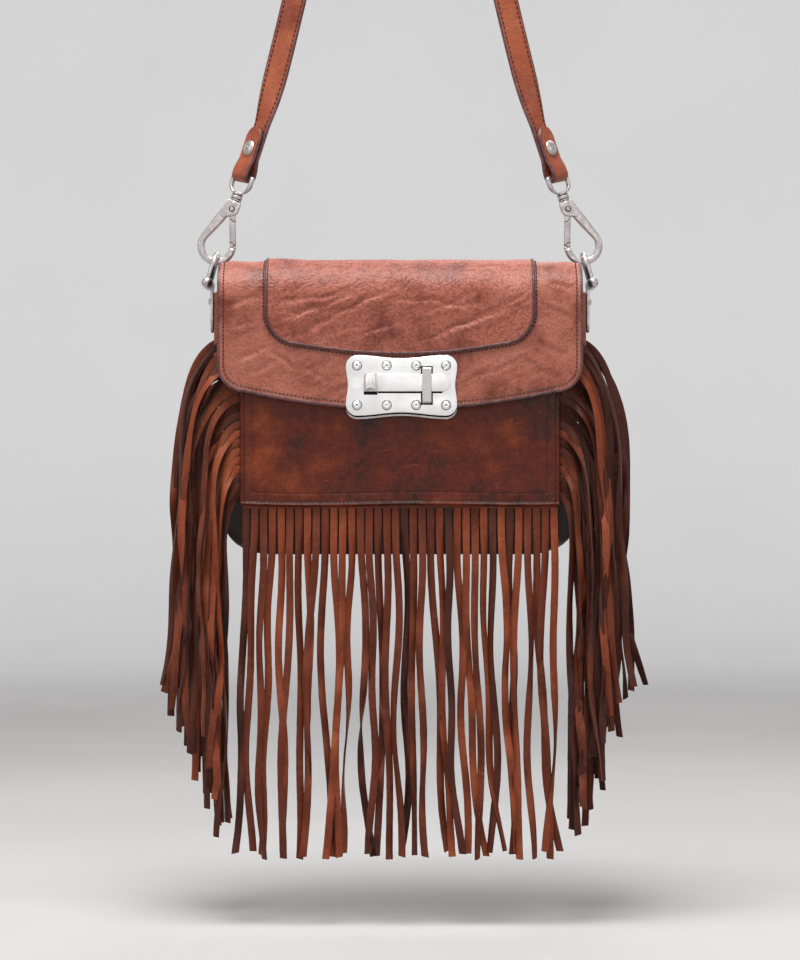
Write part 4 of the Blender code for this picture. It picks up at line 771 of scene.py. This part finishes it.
def crease_depth(x, z):
    """Relief of the pressed creases: narrow furrows with a low swell beside them."""
    u = x * 1000 + 2.2 * noise.noise(Vector((x * 70, z * 70, 5.0)))
    v = z * 1000 + 2.2 * noise.noise(Vector((x * 70, z * 70, 6.0)))
    total = 0.0
    for x0, z0, x1, z1, deep in CREASES:
        dx, dz = x1 - x0, z1 - z0
        t = ((u - x0) * dx + (v - z0) * dz) / (dx * dx + dz * dz)
        if -0.1 < t < 1.1:
            away = ((u - x0) * dz - (v - z0) * dx) / math.hypot(dx, dz)
            if abs(away) < 8:
                fade = smooth((t + 0.1) / 0.35) * smooth((1.1 - t) / 0.35)
                total += deep * fade * (0.5 * math.exp(-((away - 3.0) / 2.4) ** 2) - math.exp(-(away / 1.5) ** 2))
    return total * 0.0017


def flap_relief(x, s):
    """Outward relief of the flap's face at a distance s from its fold line, cut back for the bolt's foot."""
    z = STRAIGHT - s
    swell = 0.0009 * (1 + soft(x, z, 1.0, 0.045)) + 0.0005 * soft(x, z, 2.0, 0.018)
    lock = smooth((abs(x - 0.001) - 0.037) / 0.012) + smooth((z + 0.058) / 0.012) + smooth((-0.103 - z) / 0.01)
    edge = smooth((FLAP_HALF - abs(x)) / 0.010)
    recess = 0.0013 * smooth((0.0325 - abs(x - 0.001)) / 0.003) * smooth((0.0150 - abs(z + 0.0804)) / 0.003)
    return -recess + (swell + crease_depth(x, z) * smooth(s / 0.03)) * min(lock, 1.0) * (0.25 + 0.75 * edge)


def flap_point(x, s, lift=0.0, relief=True):
    forward, up, out = over_top(s, LEVEL, BEND, lift)
    rise = flap_relief(x, s) if relief else 0.0
    return world(x, HINGE_Y - forward - rise * out[0], up + rise * out[1]), Vector((0, -out[0], out[1]))


def flap_edge(x, half, corner, drop, rise):
    """Distance along the flap to a curved lower edge between two round corners."""
    inner = min(abs(x), half - corner)
    return STRAIGHT + drop - rise * (inner / (half - corner)) ** 2 - corner_edge(x, half, corner)


def flap_sheet(name, half, corner, drop, rise, lift, thick, start, hides, slot, node_name, columns=110, rows=110):
    outs, grid = {}, []
    xs = spaced(half, corner, columns, 14)
    for k in range(rows + 1):
        row = []
        for x in xs:
            s = start + (flap_edge(x, half, corner, drop, rise) - start) * k / rows
            point, out = flap_point(x, s, lift)
            outs[tuple(point)] = out
            row.append(point)
        grid.append(row)
    points, faces, marks = sheet(grid, thick, lambda p: -outs[tuple(p)])
    return piece(name, points, faces, hides, None, slot, node_name, marks=marks)


def flap_path(half, corner, drop, rise, lift, start):
    """Line round a sheet of the flap, with the outward direction at each point."""
    low = flap_edge(half, half, corner, drop, rise)
    path = [(-half, start + (low - start) * k / 30) for k in range(30)]
    path += [(x, flap_edge(x, half, corner, drop, rise)) for x in spaced(half, corner, 50, 10)]
    path += [(-x, s) for x, s in reversed(path[:30])]
    found = [flap_point(x, s, lift) for x, s in path]
    return [p for p, _ in found], lambda i: found[i][1]


def fold_over(made):
    """Bakes the piece's place in the world into its points."""
    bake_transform(made)


fold_over(flap_sheet("flap_leather", FLAP_HALF - 0.0006, 0.0174, 0.0974, 0.0115, 0.0, FLAP_THICK, 0.0003,
                     [FLAP_HIDE, BODY_HIDE, EDGE_PAINT], "outer_leather", "flap"))
line, out = flap_path(FLAP_HALF - 0.0011, 0.0169, 0.0969, 0.0115, -FLAP_THICK / 2, 0.0003)
points, faces = tube(framed(line, out), ring(0.0012, 0.0014, 12, 3.0))
fold_over(piece("flap_edge_paint", points, faces, [EDGE_PAINT], None, "outer_leather"))
line, out = flap_path(FLAP_HALF - 0.0041, 0.0139, 0.0939, 0.0115, 0.0, 0.004)
points, faces = stitches(line, out)
fold_over(piece("flap_thread", points, faces, [THREAD], None, "outer_leather"))

# Yoke: pebbled cowhide, 1.2 mm, laid on the flap, with a folded dark piping round its edge
YOKE_HALF = 0.0866
YOKE_LIFT = 0.0015
fold_over(flap_sheet("yoke_leather", YOKE_HALF, 0.020, 0.0600, 0.0062, YOKE_LIFT, 0.0012, 0.0025,
                     [YOKE_HIDE, BODY_HIDE, YOKE_HIDE], "grained_leather", "flap_yoke", 100, 100))
line, out = flap_path(YOKE_HALF + 0.0010, 0.0210, 0.0610, 0.0062, 0.0010, 0.0025)
points, faces = tube(framed(line, out), ring(0.0011, 0.0011, 12, 2.4))
fold_over(piece("piping_leather", points, faces, [PIPING_HIDE], None, "piping_leather", "flap_piping"))
line, out = flap_path(YOKE_HALF + 0.0030, 0.0230, 0.0630, 0.0062, 0.0, 0.004)
points, faces = stitches(line, out)
fold_over(piece("yoke_thread", points, faces, [THREAD], None, "outer_leather"))


def plate(loops, thickness, bevel, place, rounds=2):
    """Points and faces of a plate cut to loops with rounded edges. place(x, y, z) puts it in the world."""
    curve = bpy.data.curves.new("outline", "CURVE")
    curve.dimensions = "2D"
    curve.fill_mode = "BOTH"
    curve.extrude = thickness / 2 - bevel
    curve.bevel_depth = bevel
    curve.bevel_resolution = rounds
    curve.offset = -bevel
    for loop in loops:
        spline = curve.splines.new("POLY")
        spline.points.add(len(loop) - 1)
        for point, (x, y) in zip(spline.points, loop):
            point.co = (x, y, 0, 1)
        spline.use_cyclic_u = True
    holder = bpy.data.objects.new("outline", curve)
    bpy.context.scene.collection.objects.link(holder)
    bpy.context.view_layer.update()
    mesh = bpy.data.meshes.new_from_object(holder.evaluated_get(bpy.context.evaluated_depsgraph_get()))
    points = [place(*v.co) for v in mesh.vertices]
    faces = [tuple(f.vertices) for f in mesh.polygons]
    bpy.data.objects.remove(holder)
    return points, faces


def lathe(profile, place, steps=28):
    """Points and faces of a profile of (radius, height) turned about its axis."""
    verts, faces = [], []
    for k in range(steps):
        a = 2 * math.pi * k / steps
        verts += [place(r * math.cos(a), r * math.sin(a), h) for r, h in profile]
    n = len(profile)
    for k in range(steps):
        j = (k + 1) % steps
        faces += [(k * n + i, j * n + i, j * n + i + 1, k * n + i + 1) for i in range(n - 1)]
    return verts, faces


def weld(made):
    """Weld doubled points and turn all faces outwards."""
    bm = bmesh.new()
    bm.from_mesh(made.data)
    bmesh.ops.remove_doubles(bm, verts=bm.verts, dist=2e-6)
    bmesh.ops.recalc_face_normals(bm, faces=bm.faces)
    bm.to_mesh(made.data)
    bm.free()
    made.data.shade_smooth()
    made.data.set_sharp_from_angle(angle=math.radians(35))
    return made


# Lock: satin nickel plates riveted through the flap, a keeper and a slide bolt with a rolled grip
# The front plate's corners are round and its sides are waisted. The strip stays bare.
LOCK_X = 0.001
LOCK_Z = -0.082
LOCK_FACE = -0.0404
RIVETS = [(x, z) for z in (0.0130, -0.0130) for x in (-0.0292, -0.0097, 0.0097, 0.0292)]


def lock_outline(height, drop=0.0):
    a, b, r = 0.073 / 2, height / 2, 0.0075
    points = []
    for sx, sy, start in ((1, 1, 0), (-1, 1, 90), (-1, -1, 180), (1, -1, 270)):
        points += arc(sx * (a - r), sy * (b - r), r, start, start + 90, 12)
        for k in range(1, 12):
            t = k / 12
            bow = 0.0022 * math.sin(math.pi * t) ** 2
            if start in (0, 180):
                points.append((sx * (a - r) * (1 - 2 * t), sy * (b - bow)))
            else:
                points.append((sx * (a - 0.6 * bow), sy * (b - r) * (1 - 2 * t)))
    return [(x, y - drop if y < 0 else y) for x, y in points]


def box_loop(x0, x1, z0, z1):
    return [(x0, z0), (x1, z0), (x1, z1), (x0, z1)]


def on_lock(y):
    """Place of a flat piece of the lock whose middle stands at depth y."""
    return lambda a, b, c: world(LOCK_X + a, y - c, LOCK_Z + b)


keeper_slot = box_loop(0.0133, 0.0199, -0.0120, 0.0120)
guide = box_loop(-0.0233, -0.0007, -0.0007, 0.0039)
points, faces = plate([lock_outline(0.0398), keeper_slot, guide], 0.0015, 0.00035, on_lock(LOCK_FACE + 0.00075))
weld(piece("lock_face_plate", points, faces, [SATIN_NICKEL], "flap", "satin_nickel", "lock_plate"))
points, faces = plate([lock_outline(0.0398, 0.0022)], 0.0012, 0.0003, on_lock(-0.0353))
weld(piece("lock_rear_plate", points, faces, [SHADED_NICKEL], "flap", "satin_nickel", "lock_back_plate"))
cap = [(0, 0.0011), (0.0004, 0.0011), (0.0006, 0.0014), (0.0009, 0.0016), (0.0013, 0.0016), (0.0018, 0.0014),
       (0.0023, 0.0010), (0.0027, 0.0005), (0.00295, 0.0), (0.0012, 0.0), (0.0012, -0.0055), (0, -0.0055)]
for n, (x, z) in enumerate(RIVETS):
    points, faces = lathe(cap, lambda a, b, c, x=x, z=z: world(LOCK_X + x + a, LOCK_FACE - 0.0003 - c, LOCK_Z + z + b))
    weld(piece(f"rivet_{n + 1}", points, faces, [SATIN_NICKEL], "flap", "satin_nickel", f"lock_rivet_{n + 1}"))
# Painted shade on the face plate: dark rings at the rivets' feet and dark dots in their dimples.
rivet_foot_shade = [(0.0029, 0.0001), (0.0033, 0.0001), (0.0033, -0.0001), (0.0029, -0.0001), (0.0029, 0.0001)]
centre = [(0, 0.00155), (0.0005, 0.00155), (0.0005, 0.0014), (0, 0.0014)]
parts = [lathe(shape, lambda a, b, c, x=x, z=z: world(LOCK_X + x + a, LOCK_FACE - 0.0001 - c, LOCK_Z + z + b))
         for x, z in RIVETS for shape in (rivet_foot_shade, centre)]
# Painted shade in the slot gap round the keeper.
gap = [box_loop(0.0127, 0.0205, -0.0128, 0.0126), box_loop(0.0137, 0.0195, -0.0116, 0.0116)]
parts.append(plate(gap, 0.0002, 0.00005, on_lock(LOCK_FACE)))
# Painted shade: a dark rim behind the face plate shows below its lower edge, between it and the rear plate.
parts.append(plate([lock_outline(0.0398, 0.0010)], 0.0006, 0.0002, on_lock(LOCK_FACE + 0.0019)))
# Painted shadows of the bolt's strip and of its barrel on the plate.
for low, high, x0, x1 in ((-0.0052, -0.0040, -0.0155, 0.0130), (-0.0052, -0.0040, 0.0203, 0.0268),
                          (-0.0062, -0.0035, -0.0248, -0.0157)):
    parts.append(plate([box_loop(x0, x1, low, high)], 0.00012, 0.00003, on_lock(LOCK_FACE)))
points, faces = join(parts)
weld(piece("lock_painted_shade", points, faces, [DARK_NICKEL], "flap", "satin_nickel"))

BOLT_Z = LOCK_Z + 0.0016
BOLT_BACK = LOCK_FACE - 0.0011
BOLT_FACE = BOLT_BACK - 0.0018
shape = [(-0.0389, 0.0117), (BOLT_FACE - 0.0013, 0.0117), (BOLT_FACE - 0.0023, 0.0107), (BOLT_FACE - 0.0023, -0.0107),
         (BOLT_FACE - 0.0013, -0.0117), (-0.0389, -0.0117), (-0.0389, -0.0048), (BOLT_FACE - 0.0003, -0.0048),
         (BOLT_FACE - 0.0003, 0.0080), (-0.0389, 0.0080)]
points, faces = plate([shape], 0.006, 0.0004, lambda a, b, c: world(0.0176 + c, a, LOCK_Z + b))
weld(piece("lock_bridge", points, faces, [GRAINED_NICKEL], "flap", "satin_nickel", "lock_keeper"))

half = 0.0056
tip = arc(0.0318 - half, 0, half, -90, 90, 24)
strip = plate([tip + [(-0.0203, half), (-0.0203, -half)]], 0.0018, 0.0004,
              lambda a, b, c: world(LOCK_X + a, BOLT_BACK - 0.0009 - c, BOLT_Z + b))
wall = [(0.0030, -half), (0.0044, -half - 0.0001), (0.0046, 0.0002 - half), (0.0046, half - 0.0002),
        (0.0044, half + 0.0001), (0.0030, half), (0.0028, half - 0.0002), (0.0028, 0.0002 - half), (0.0030, -half)]


def on_barrel(a, b, c):
    """Place of a point of the barrel, whose lower end is cut at a slant and open to the front."""
    slant = 0.0026 * max(-b, 0) / 0.0046 if c < -0.004 else 0.0
    return world(LOCK_X - 0.0203 + a, BOLT_BACK - 0.0046 + b, BOLT_Z + c + slant)


barrel = lathe(wall, on_barrel, 40)
stem = plate([box_loop(-0.005, -0.001, -0.002, 0.002)], 0.0032, 0.0002,
             lambda a, b, c: world(LOCK_X + a, BOLT_BACK + 0.0013 - c, BOLT_Z + b))
foot = plate([box_loop(-0.00675, 0.00075, -0.00375, 0.00375)], 0.0009, 0.0002,
             lambda a, b, c: world(LOCK_X + a, LOCK_FACE + 0.0015 + 0.0003 + 0.00045 - c, BOLT_Z + b))
points, faces = join([strip, barrel, stem, foot])
weld(piece("slide_bolt", points, faces, [SATIN_NICKEL], "bolt", "satin_nickel", "lock_bolt"))
# Painted shade: a dark plug inside the barrel stands for the shade in its open end.
bore = [(0, -0.0040), (0.0029, -0.0040), (0.0029, 0.0045), (0, 0.0045)]
points, faces = lathe(bore, lambda a, b, c: world(LOCK_X - 0.0203 + a, BOLT_BACK - 0.0046 + b, BOLT_Z + c))
weld(piece("barrel_painted_shade", points, faces, [DARK_NICKEL], "bolt", "satin_nickel"))
for name in ("magnet_flap", "magnet_front"):
    for holder in frame["nodes"][name].material_slots:
        holder.material = MAGNET_STEEL


def both(name, shape, hides, body, slot, node_name, marks=None, finish=True):
    """The left piece and its mirror image on the right."""
    points, faces = shape
    for side in ("left", "right"):
        if side == "right":
            points = [Vector((-p.x, p.y, p.z)) for p in points]
            faces = [tuple(reversed(f)) for f in faces]
        where = body if body == "bag" else f"{body}_{side}"
        nodes = [f"{node_name}_{side}"] if node_name else []
        made = piece(f"{name}_{side}", points, faces, hides, where, slot, *nodes, marks=marks)
        if finish:
            weld(made)


# Side rings: a leather tab, a folded nickel tongue with a knuckle, a pin with two balls and a bent shackle
# The tongue and tab share one rivet. The shackle turns on the pin.
TAB_X = -0.1193
PIN_X, PIN_Z = -0.1295, -0.4115
loop = [(-0.006, -0.021), (-0.0055, -0.018), (-0.004, -0.017), (0.004, -0.017), (0.0055, -0.018), (0.006, -0.021)]
loop += arc(0, -0.069, 0.006, 0, -180, 24)
both("tab", plate([loop], 0.0062, 0.0014, lambda a, b, c: Vector((TAB_X - 0.0031 + c, a, BAG_Z + b)), 3),
     [STRAP_HIDE], "bag", "strap_leather", "side_tab")
knuckle = arc(PIN_X, -0.0115, 0.0037, 0, 230, 28)
profile = [(-0.1258, -0.026), (-0.1258, -0.0115)] + knuckle[1:] + [(-0.1278, -0.0160), (-0.1278, -0.026)]
hole = arc(PIN_X, -0.0115, 0.0018, 0, 350, 24)
barrel = plate([profile, hole], 0.0118, 0.0003, lambda a, b, c: Vector((a, c, BAG_Z + b)))
tongue = [(-0.0059, -0.025), (0.0059, -0.025)] + arc(0, -0.0386, 0.0059, 0, -180, 24)
leaf = plate([tongue], 0.002, 0.0004, lambda a, b, c: Vector((-0.1268 + c, a, BAG_Z + b)))
both("ring_tongue", join([barrel, leaf]), [ANTIQUE_NICKEL], "bag", "antique_nickel", "ring_plate")
head = [(0, 0.0014), (0.0008, 0.0014), (0.0016, 0.0012), (0.0022, 0.0007), (0.0026, 0), (0.0012, 0), (0.0012, -0.0108),
        (0, -0.0108)]
both("tongue_rivet", lathe(head, lambda a, b, c: Vector((-0.1281 - c, a, BAG_Z - 0.0235 + b))),
     [ANTIQUE_NICKEL], "bag", "antique_nickel", "tab_rivet")
ball = [(0.0036 * math.sin(math.radians(k * 12)), 0.0115 + 0.0032 * (1 + math.cos(math.radians(k * 12))))
        for k in range(12)]
upper = ball + [(0.0024, 0.0117), (0.0034, 0.0115), (0.0034, 0.0105), (0.0015, 0.0105)]
ends = upper + [(r, -z) for r, z in reversed(upper)]
both("ring_pin", lathe(ends, lambda a, b, c: Vector((PIN_X + a, -c, PIN_Z + b))), [ANTIQUE_NICKEL], "bag",
     "antique_nickel", "shackle_pin")
lean = math.atan2(0.005737, 0.019804)
bow_top = 0.020618 - 0.0082


def in_ring(a, b, c):
    return Vector((PIN_X + a * math.cos(lean) + c * math.sin(lean), b, PIN_Z - a * math.sin(lean) + c * math.cos(lean)))


path = [(-0.0082, 0.0005 + bow_top * k / 8) for k in range(8)]
path += [(y, bow_top + z) for y, z in arc(0, 0, 0.0082, 180, 0, 24)]
path += [(0.0082, bow_top * (1 - k / 8) + 0.0005) for k in range(1, 9)]
line = [in_ring(0, y, z) for y, z in path]
wire = tube(framed(line, lambda i: in_ring(1, 0, 0) - in_ring(0, 0, 0)), ring(0.002, 0.002, 16))
eyes = []
for sign in (-1, 1):
    wall = [(0.0018, -0.0015), (0.0031, -0.0015), (0.0034, -0.0012), (0.0034, 0.0012), (0.0031, 0.0015), (0.0018, 0.0015),
            (0.0018, -0.0015)]
    eyes.append(lathe(wall, lambda a, b, c, sign=sign: in_ring(a, sign * 0.0082 + c, b)))
both("ring_bow", join([wire] + eyes), [ANTIQUE_NICKEL], "shackle", "antique_nickel", "shackle")

# Snap hooks: antiqued cast nickel, a pear-shaped loop with a sprung gate, on a swivel eye for the strap
# The eye's stem turns in the hook's neck. The gate's end meets the nose in a small step.
TILT = math.radians(18)
TURN = math.radians(50)
BAR = Vector((-0.1055, 0, -0.3380))
UP = Vector((math.sin(TILT), 0, math.cos(TILT)))
SIDE = Vector((math.cos(TILT), 0, -math.sin(TILT)))
FORE = Vector((0, -1, 0))


def in_hook(a, b, c):
    """World point of a point in the left hook's own frame: across, towards the back, up its axis."""
    return BAR + SIDE * a - FORE * b + UP * c


loop = arc(-0.0026, -0.0511, 0.0107, 8, -210, 40)
start = loop[-1]
loop += [(start[0] + (-0.0038 - start[0]) * k / 16, start[1] + (-0.0260 - start[1]) * k / 16) for k in range(1, 17)]
left, right = [], []
for k, (x, z) in enumerate(loop):
    after, before = loop[min(k + 1, len(loop) - 1)], loop[max(k - 1, 0)]
    size = math.hypot(after[0] - before[0], after[1] - before[1])
    half = 0.0022 + 0.0002 * smooth(k / 12) + 0.0009 * smooth((k - 36) / 16)
    nx, nz = half * (before[1] - after[1]) / size, half * (after[0] - before[0]) / size
    left.append((x + nx, z + nz))
    right.append((x - nx, z - nz))
nose = [(0.0080, left[0][1]), (0.0080, left[0][1] + 0.0016), (left[0][0], left[0][1] + 0.0016)]
arm = plate([nose + left + right[::-1]], 0.0046, 0.0017, lambda a, b, c: in_hook(a, c, b), 3)
cheeks = []
block = [(-0.0046, -0.0185), (-0.0060, -0.0225), (-0.0070, -0.0295), (-0.0058, -0.0312), (-0.0040, -0.0312), (-0.0022, -0.0300),
         (0.0006, -0.0292), (0.0030, -0.0276), (0.0040, -0.0250), (0.0042, -0.0205), (0.0036, -0.0185)]
for y in (-0.00245, 0.00245):
    cheeks.append(plate([block], 0.0013, 0.0004, lambda a, b, c, y=y: in_hook(a, y + c, b)))
back = [(-0.0060, -0.0215), (-0.0072, -0.0300), (-0.0045, -0.0312), (-0.0036, -0.0300), (-0.0036, -0.0215)]
cheeks.append(plate([back], 0.0058, 0.0004, lambda a, b, c: in_hook(a, c, b)))
roof = [(-0.0046, -0.0186), (-0.0055, -0.0212), (0.0040, -0.0212), (0.0037, -0.0186)]
cheeks.append(plate([roof], 0.0060, 0.0004, lambda a, b, c: in_hook(a, c, b)))
neck = [(0.0018, -0.0170), (0.0034, -0.0170), (0.0038, -0.0173), (0.0038, -0.0180), (0.0034, -0.0183), (0.0033, -0.0185),
        (0.0036, -0.0188), (0.0038, -0.0192), (0.0040, -0.0200), (0.0041, -0.0212), (0.0018, -0.0212), (0.0018, -0.0170)]
both("hook_casting", join([arm, lathe(neck, in_hook)] + cheeks), [ANTIQUE_NICKEL], "hook", "antique_nickel", "hook")
head = [(0, 0.0034), (0.0004, 0.0034), (0.0007, 0.0037), (0.0011, 0.0037), (0.0015, 0.0033), (0.0015, 0.0), (0.0015, -0.0033),
        (0.0011, -0.0037), (0, -0.0037)]
both("gate_pin", lathe(head, lambda a, b, c: in_hook(-0.0005 + a, -c, -0.0243 + b)), [ANTIQUE_NICKEL], "hook",
     "antique_nickel", "hook_pin")
ux, uz = 0.0085 / 0.02612, -0.0247 / 0.02612
px, pz = -uz, ux


def on_gate(t, w):
    return (-0.0005 + ux * t + px * w, -0.0243 + uz * t + pz * w)


lever = [on_gate(t, w) for t, w in ((0.0, 0.0026), (0.004, 0.0024), (0.008, 0.0022), (0.0250, 0.0022), (0.0250, 0.0008),
                                    (0.0258, 0.0), (0.0258, -0.0020), (0.008, -0.0020), (0.004, -0.0023),
                                    (0.0, -0.0026), (-0.0018, -0.0018), (-0.0026, 0.0), (-0.0018, 0.0018))]
both("gate_lever", plate([lever], 0.0032, 0.0006, lambda a, b, c: in_hook(a, c, b)), [ANTIQUE_NICKEL], "gate",
     "antique_nickel", "gate")
reach = 0.0085 + 0.0005 + 0.00172
flat = arc(reach - 0.0022, -0.0022, 0.0022, 90, 0, 6)
flat += [(reach * math.cos(a), -0.0062 - 0.0074 * math.sin(a)) for a in [math.radians(7.5 * k) for k in range(25)]]
flat += arc(0.0022 - reach, -0.0022, 0.0022, 180, 90, 6)
flat += [(x, 0.0) for x in (-0.006, -0.002, 0.002, 0.006)]
line = [in_hook(u * math.cos(TURN), -u * math.sin(TURN), z) for u, z in flat]
broad = SIDE * -math.sin(TURN) + FORE * -math.cos(TURN)
stations = []
for i, point in enumerate(line):
    along = (line[(i + 1) % len(line)] - line[i - 1]).normalized()
    stations.append((point, broad.cross(along), broad))
wire = tube(stations, ring(0.00172, 0.00172, 14), closed=True)
collar = [(0, -0.0118), (0.0026, -0.0119), (0.0036, -0.0124), (0.0038, -0.0131), (0.0034, -0.0140), (0.0034, -0.0144),
          (0.0038, -0.0150), (0.0038, -0.0162), (0.0036, -0.0167), (0.0015, -0.0167), (0.0015, -0.0205), (0, -0.0205)]
both("swivel_eye", join([wire, lathe(collar, in_hook)]), [ANTIQUE_NICKEL], "bag", "antique_nickel", "eye")
# Dark bands in the collar's groove and at its gap to the hook's neck.
grooves = [[(0.0015, high), (wide, high), (wide, high - 0.0004), (0.0015, high - 0.0004)]
           for wide, high in ((0.0036, -0.0140), (0.0036, -0.0166))]
both("neck_dark_bands", join([lathe(band, in_hook) for band in grooves]), [DARK_NICKEL], "bag", "antique_nickel", None)
# Dark rings round the gate pin where it leaves the cheek, and in the neck's groove.
outline = [(0.0015, 0.0031), (0.0021, 0.0031), (0.0021, 0.00322), (0.0015, 0.00322), (0.0015, 0.0031)]
groove = [(0.0030, -0.0183), (0.0036, -0.0183), (0.0036, -0.0187), (0.0030, -0.0187), (0.0030, -0.0183)]
marks = [lathe(outline, lambda a, b, c: in_hook(-0.0005 + a, -c, -0.0243 + b)), lathe(groove, in_hook)]
both("pivot_dark_rings", join(marks), [DARK_NICKEL], "hook", "antique_nickel", None)
# Dark stepped lines across both faces of the gate.
marks = []
for path in (((0.0068, -0.0012), (0.0068, -0.0006), (0.0084, 0.0004), (0.0084, 0.0023)),
             ((0.0226, -0.0022), (0.0226, -0.0004), (0.0242, 0.0006), (0.0242, 0.0022))):
    for y in (-0.00158, 0.00158):
        corners = [on_gate(t, w) for t, w in path]
        marks.append(tube(framed([in_hook(x, y, z) for x, z in corners], lambda i: FORE), ring(0.0003, 0.0001, 6)))
both("gate_dark_lines", join(marks), [DARK_NICKEL], "gate", "antique_nickel", None)

# Strap: waxed cowhide 17 mm wide and 3 mm thick, folded back round each eye and riveted
# Its edges are painted dark, it is stitched along both edges, and it turns as it rises to the crown.
STRAP_HALF = 0.0085
STRAP_THICK = 0.0015
TAIL = 0.034
CROWN = 0.024


def strap_stations():
    """Stations from the left tail round the eye and up to the crown: point, width direction, share."""
    wide = SIDE * math.cos(TURN) + FORE * math.sin(TURN)
    tail = SIDE * -math.sin(TURN) + FORE * math.cos(TURN)
    near = STRAP_THICK + 0.00015
    bar = 0.00172 + 0.0003 + STRAP_THICK
    out = []

    def put(offset, height, share=1.0):
        out.append((BAR + tail * offset + UP * height, wide, share))

    for k in range(12):
        a = math.radians(6 + 84 * k / 11)
        put(near, TAIL - STRAP_HALF + STRAP_HALF * math.cos(a), math.sin(a))
    for height in (0.0225, 0.020, 0.0170, 0.0135, 0.0110):
        put(near, height)
    put(near + 0.35 * (bar - near), 0.0085)
    put(near + 0.60 * (bar - near), 0.0065)
    put(near + 0.82 * (bar - near), 0.0045)
    put(near + 0.96 * (bar - near), 0.0022)
    for k in range(17):
        a = math.radians(180 * k / 16)
        put(bar * math.cos(a), -bar * math.sin(a))
    put(-near - 0.96 * (bar - near), 0.0022)
    put(-near - 0.82 * (bar - near), 0.0045)
    put(-near - 0.60 * (bar - near), 0.0065)
    put(-near - 0.35 * (bar - near), 0.0085)
    for height in (0.0110, 0.0135, 0.0165, 0.020, 0.0235, 0.027, 0.0305, TAIL):
        put(-near, height)
    radius = CROWN + STRAP_THICK
    lean = math.radians(13.0)
    join_at = Vector((-radius * math.cos(lean), 0, -CROWN + radius * math.sin(lean)))
    rise = Vector((math.sin(lean), 0, math.cos(lean)))
    begin = out[-1][0]
    first = begin + UP * 0.035
    last = join_at - rise * 0.12
    for k in range(1, 85):
        t = k / 84
        point = begin * (1 - t)**3 + first * 3 * t * (1 - t)**2 + last * 3 * t * t * (1 - t) + join_at * t**3
        turn = TURN + (math.radians(12) - TURN) * smooth(t / 0.25) + math.radians(70) * smooth((t - 0.45) / 0.5)
        direction = UP.lerp(rise, t).normalized()
        out.append((point, Vector((direction.z, 0, -direction.x)) * math.cos(turn) + FORE * math.sin(turn), 1.0))
    last_turn = turn
    for k in range(1, 17):
        t = k / 16
        a = math.pi - lean - (math.pi / 2 - lean) * t
        turn = last_turn + (math.pi / 2 - last_turn) * t
        direction = Vector((math.sin(a), 0, -math.cos(a)))
        point = Vector((radius * math.cos(a), 0, -CROWN + radius * math.sin(a)))
        out.append((point, Vector((direction.z, 0, -direction.x)) * math.cos(turn) + FORE * math.sin(turn), 1.0))
    return out


stations = strap_stations()
stations += [(Vector((-p.x, p.y, p.z)), Vector((-w.x, w.y, w.z)), share) for p, w, share in reversed(stations[:-1])]
frames, shares = [], []
for i, (point, across, share) in enumerate(stations):
    along = (stations[min(i + 1, len(stations) - 1)][0] - stations[max(i - 1, 0)][0]).normalized()
    across = (across - along * across.dot(along)).normalized()
    frames.append((point, across, along.cross(across)))
    shares.append(share)
w, h = STRAP_HALF, STRAP_THICK
profile = [(-w + 0.0004, -h * 0.55), (-w + 0.0012, -h * 0.92), (-w * 0.45, -h), (w * 0.45, -h), (w - 0.0012, -h * 0.92),
           (w - 0.0004, -h * 0.55), (w, 0), (w - 0.0004, h * 0.55), (w - 0.0012, h * 0.92), (w * 0.45, h), (-w * 0.45, h),
           (-w + 0.0012, h * 0.92), (-w + 0.0004, h * 0.55), (-w, 0)]
verts, faces, marks = [], [], []
n = len(profile)
for (point, side, front), share in zip(frames, shares):
    verts += [point + side * (a * share) + front * b for a, b in profile]
for i in range(len(frames) - 1):
    for k in range(n):
        faces.append((i * n + k, i * n + (k + 1) % n, (i + 1) * n + (k + 1) % n, (i + 1) * n + k))
        marks.append(1 if k in (0, 4, 5, 6, 7, 11, 12, 13) else 0)
faces += [tuple(range(n - 1, -1, -1)), tuple(range(len(verts) - n, len(verts)))]
made = piece("strap_hide", verts, faces, [STRAP_HIDE, EDGE_PAINT], "bag", "strap_leather", "strap", marks=marks + [1, 1])
weld(made)
parts = []
for way in (-1, 1):
    for edge in (-1, 1):
        rows = [(p + s * (edge * (STRAP_HALF - 0.0024)) + f * (way * STRAP_THICK), f * way)
                for p, s, f in frames[48:-48]]
        parts.append(stitches([p for p, _ in rows], lambda i, rows=rows: rows[i][1], 0.0034, 0.0023))
points, faces = join(parts)
piece("strap_thread", points, faces, [THREAD], "bag", "strap_leather")

reach = 0.003 + 0.00015 + 0.0003
dome = [(0, 0.0017), (0.0007, 0.0017), (0.0009, 0.0015), (0.0022, 0.0015), (0.0026, 0.0017), (0.0034, 0.0014), (0.0043, 0.0009),
        (0.0050, 0.0004), (0.0053, 0.0), (0.0016, 0.0)]
through = [(r, reach + z) for r, z in dome]
through += [(r, -z) for r, z in reversed(through)]
tail_way = SIDE * -math.sin(TURN) + FORE * math.cos(TURN)
wide_way = SIDE * math.cos(TURN) + FORE * math.sin(TURN)
both("strap_stud", lathe(through, lambda a, b, c: BAR + UP * (0.0185 + b) + wide_way * a + tail_way * c, 32),
     [ANTIQUE_NICKEL], "bag", "antique_nickel", "strap_rivet")
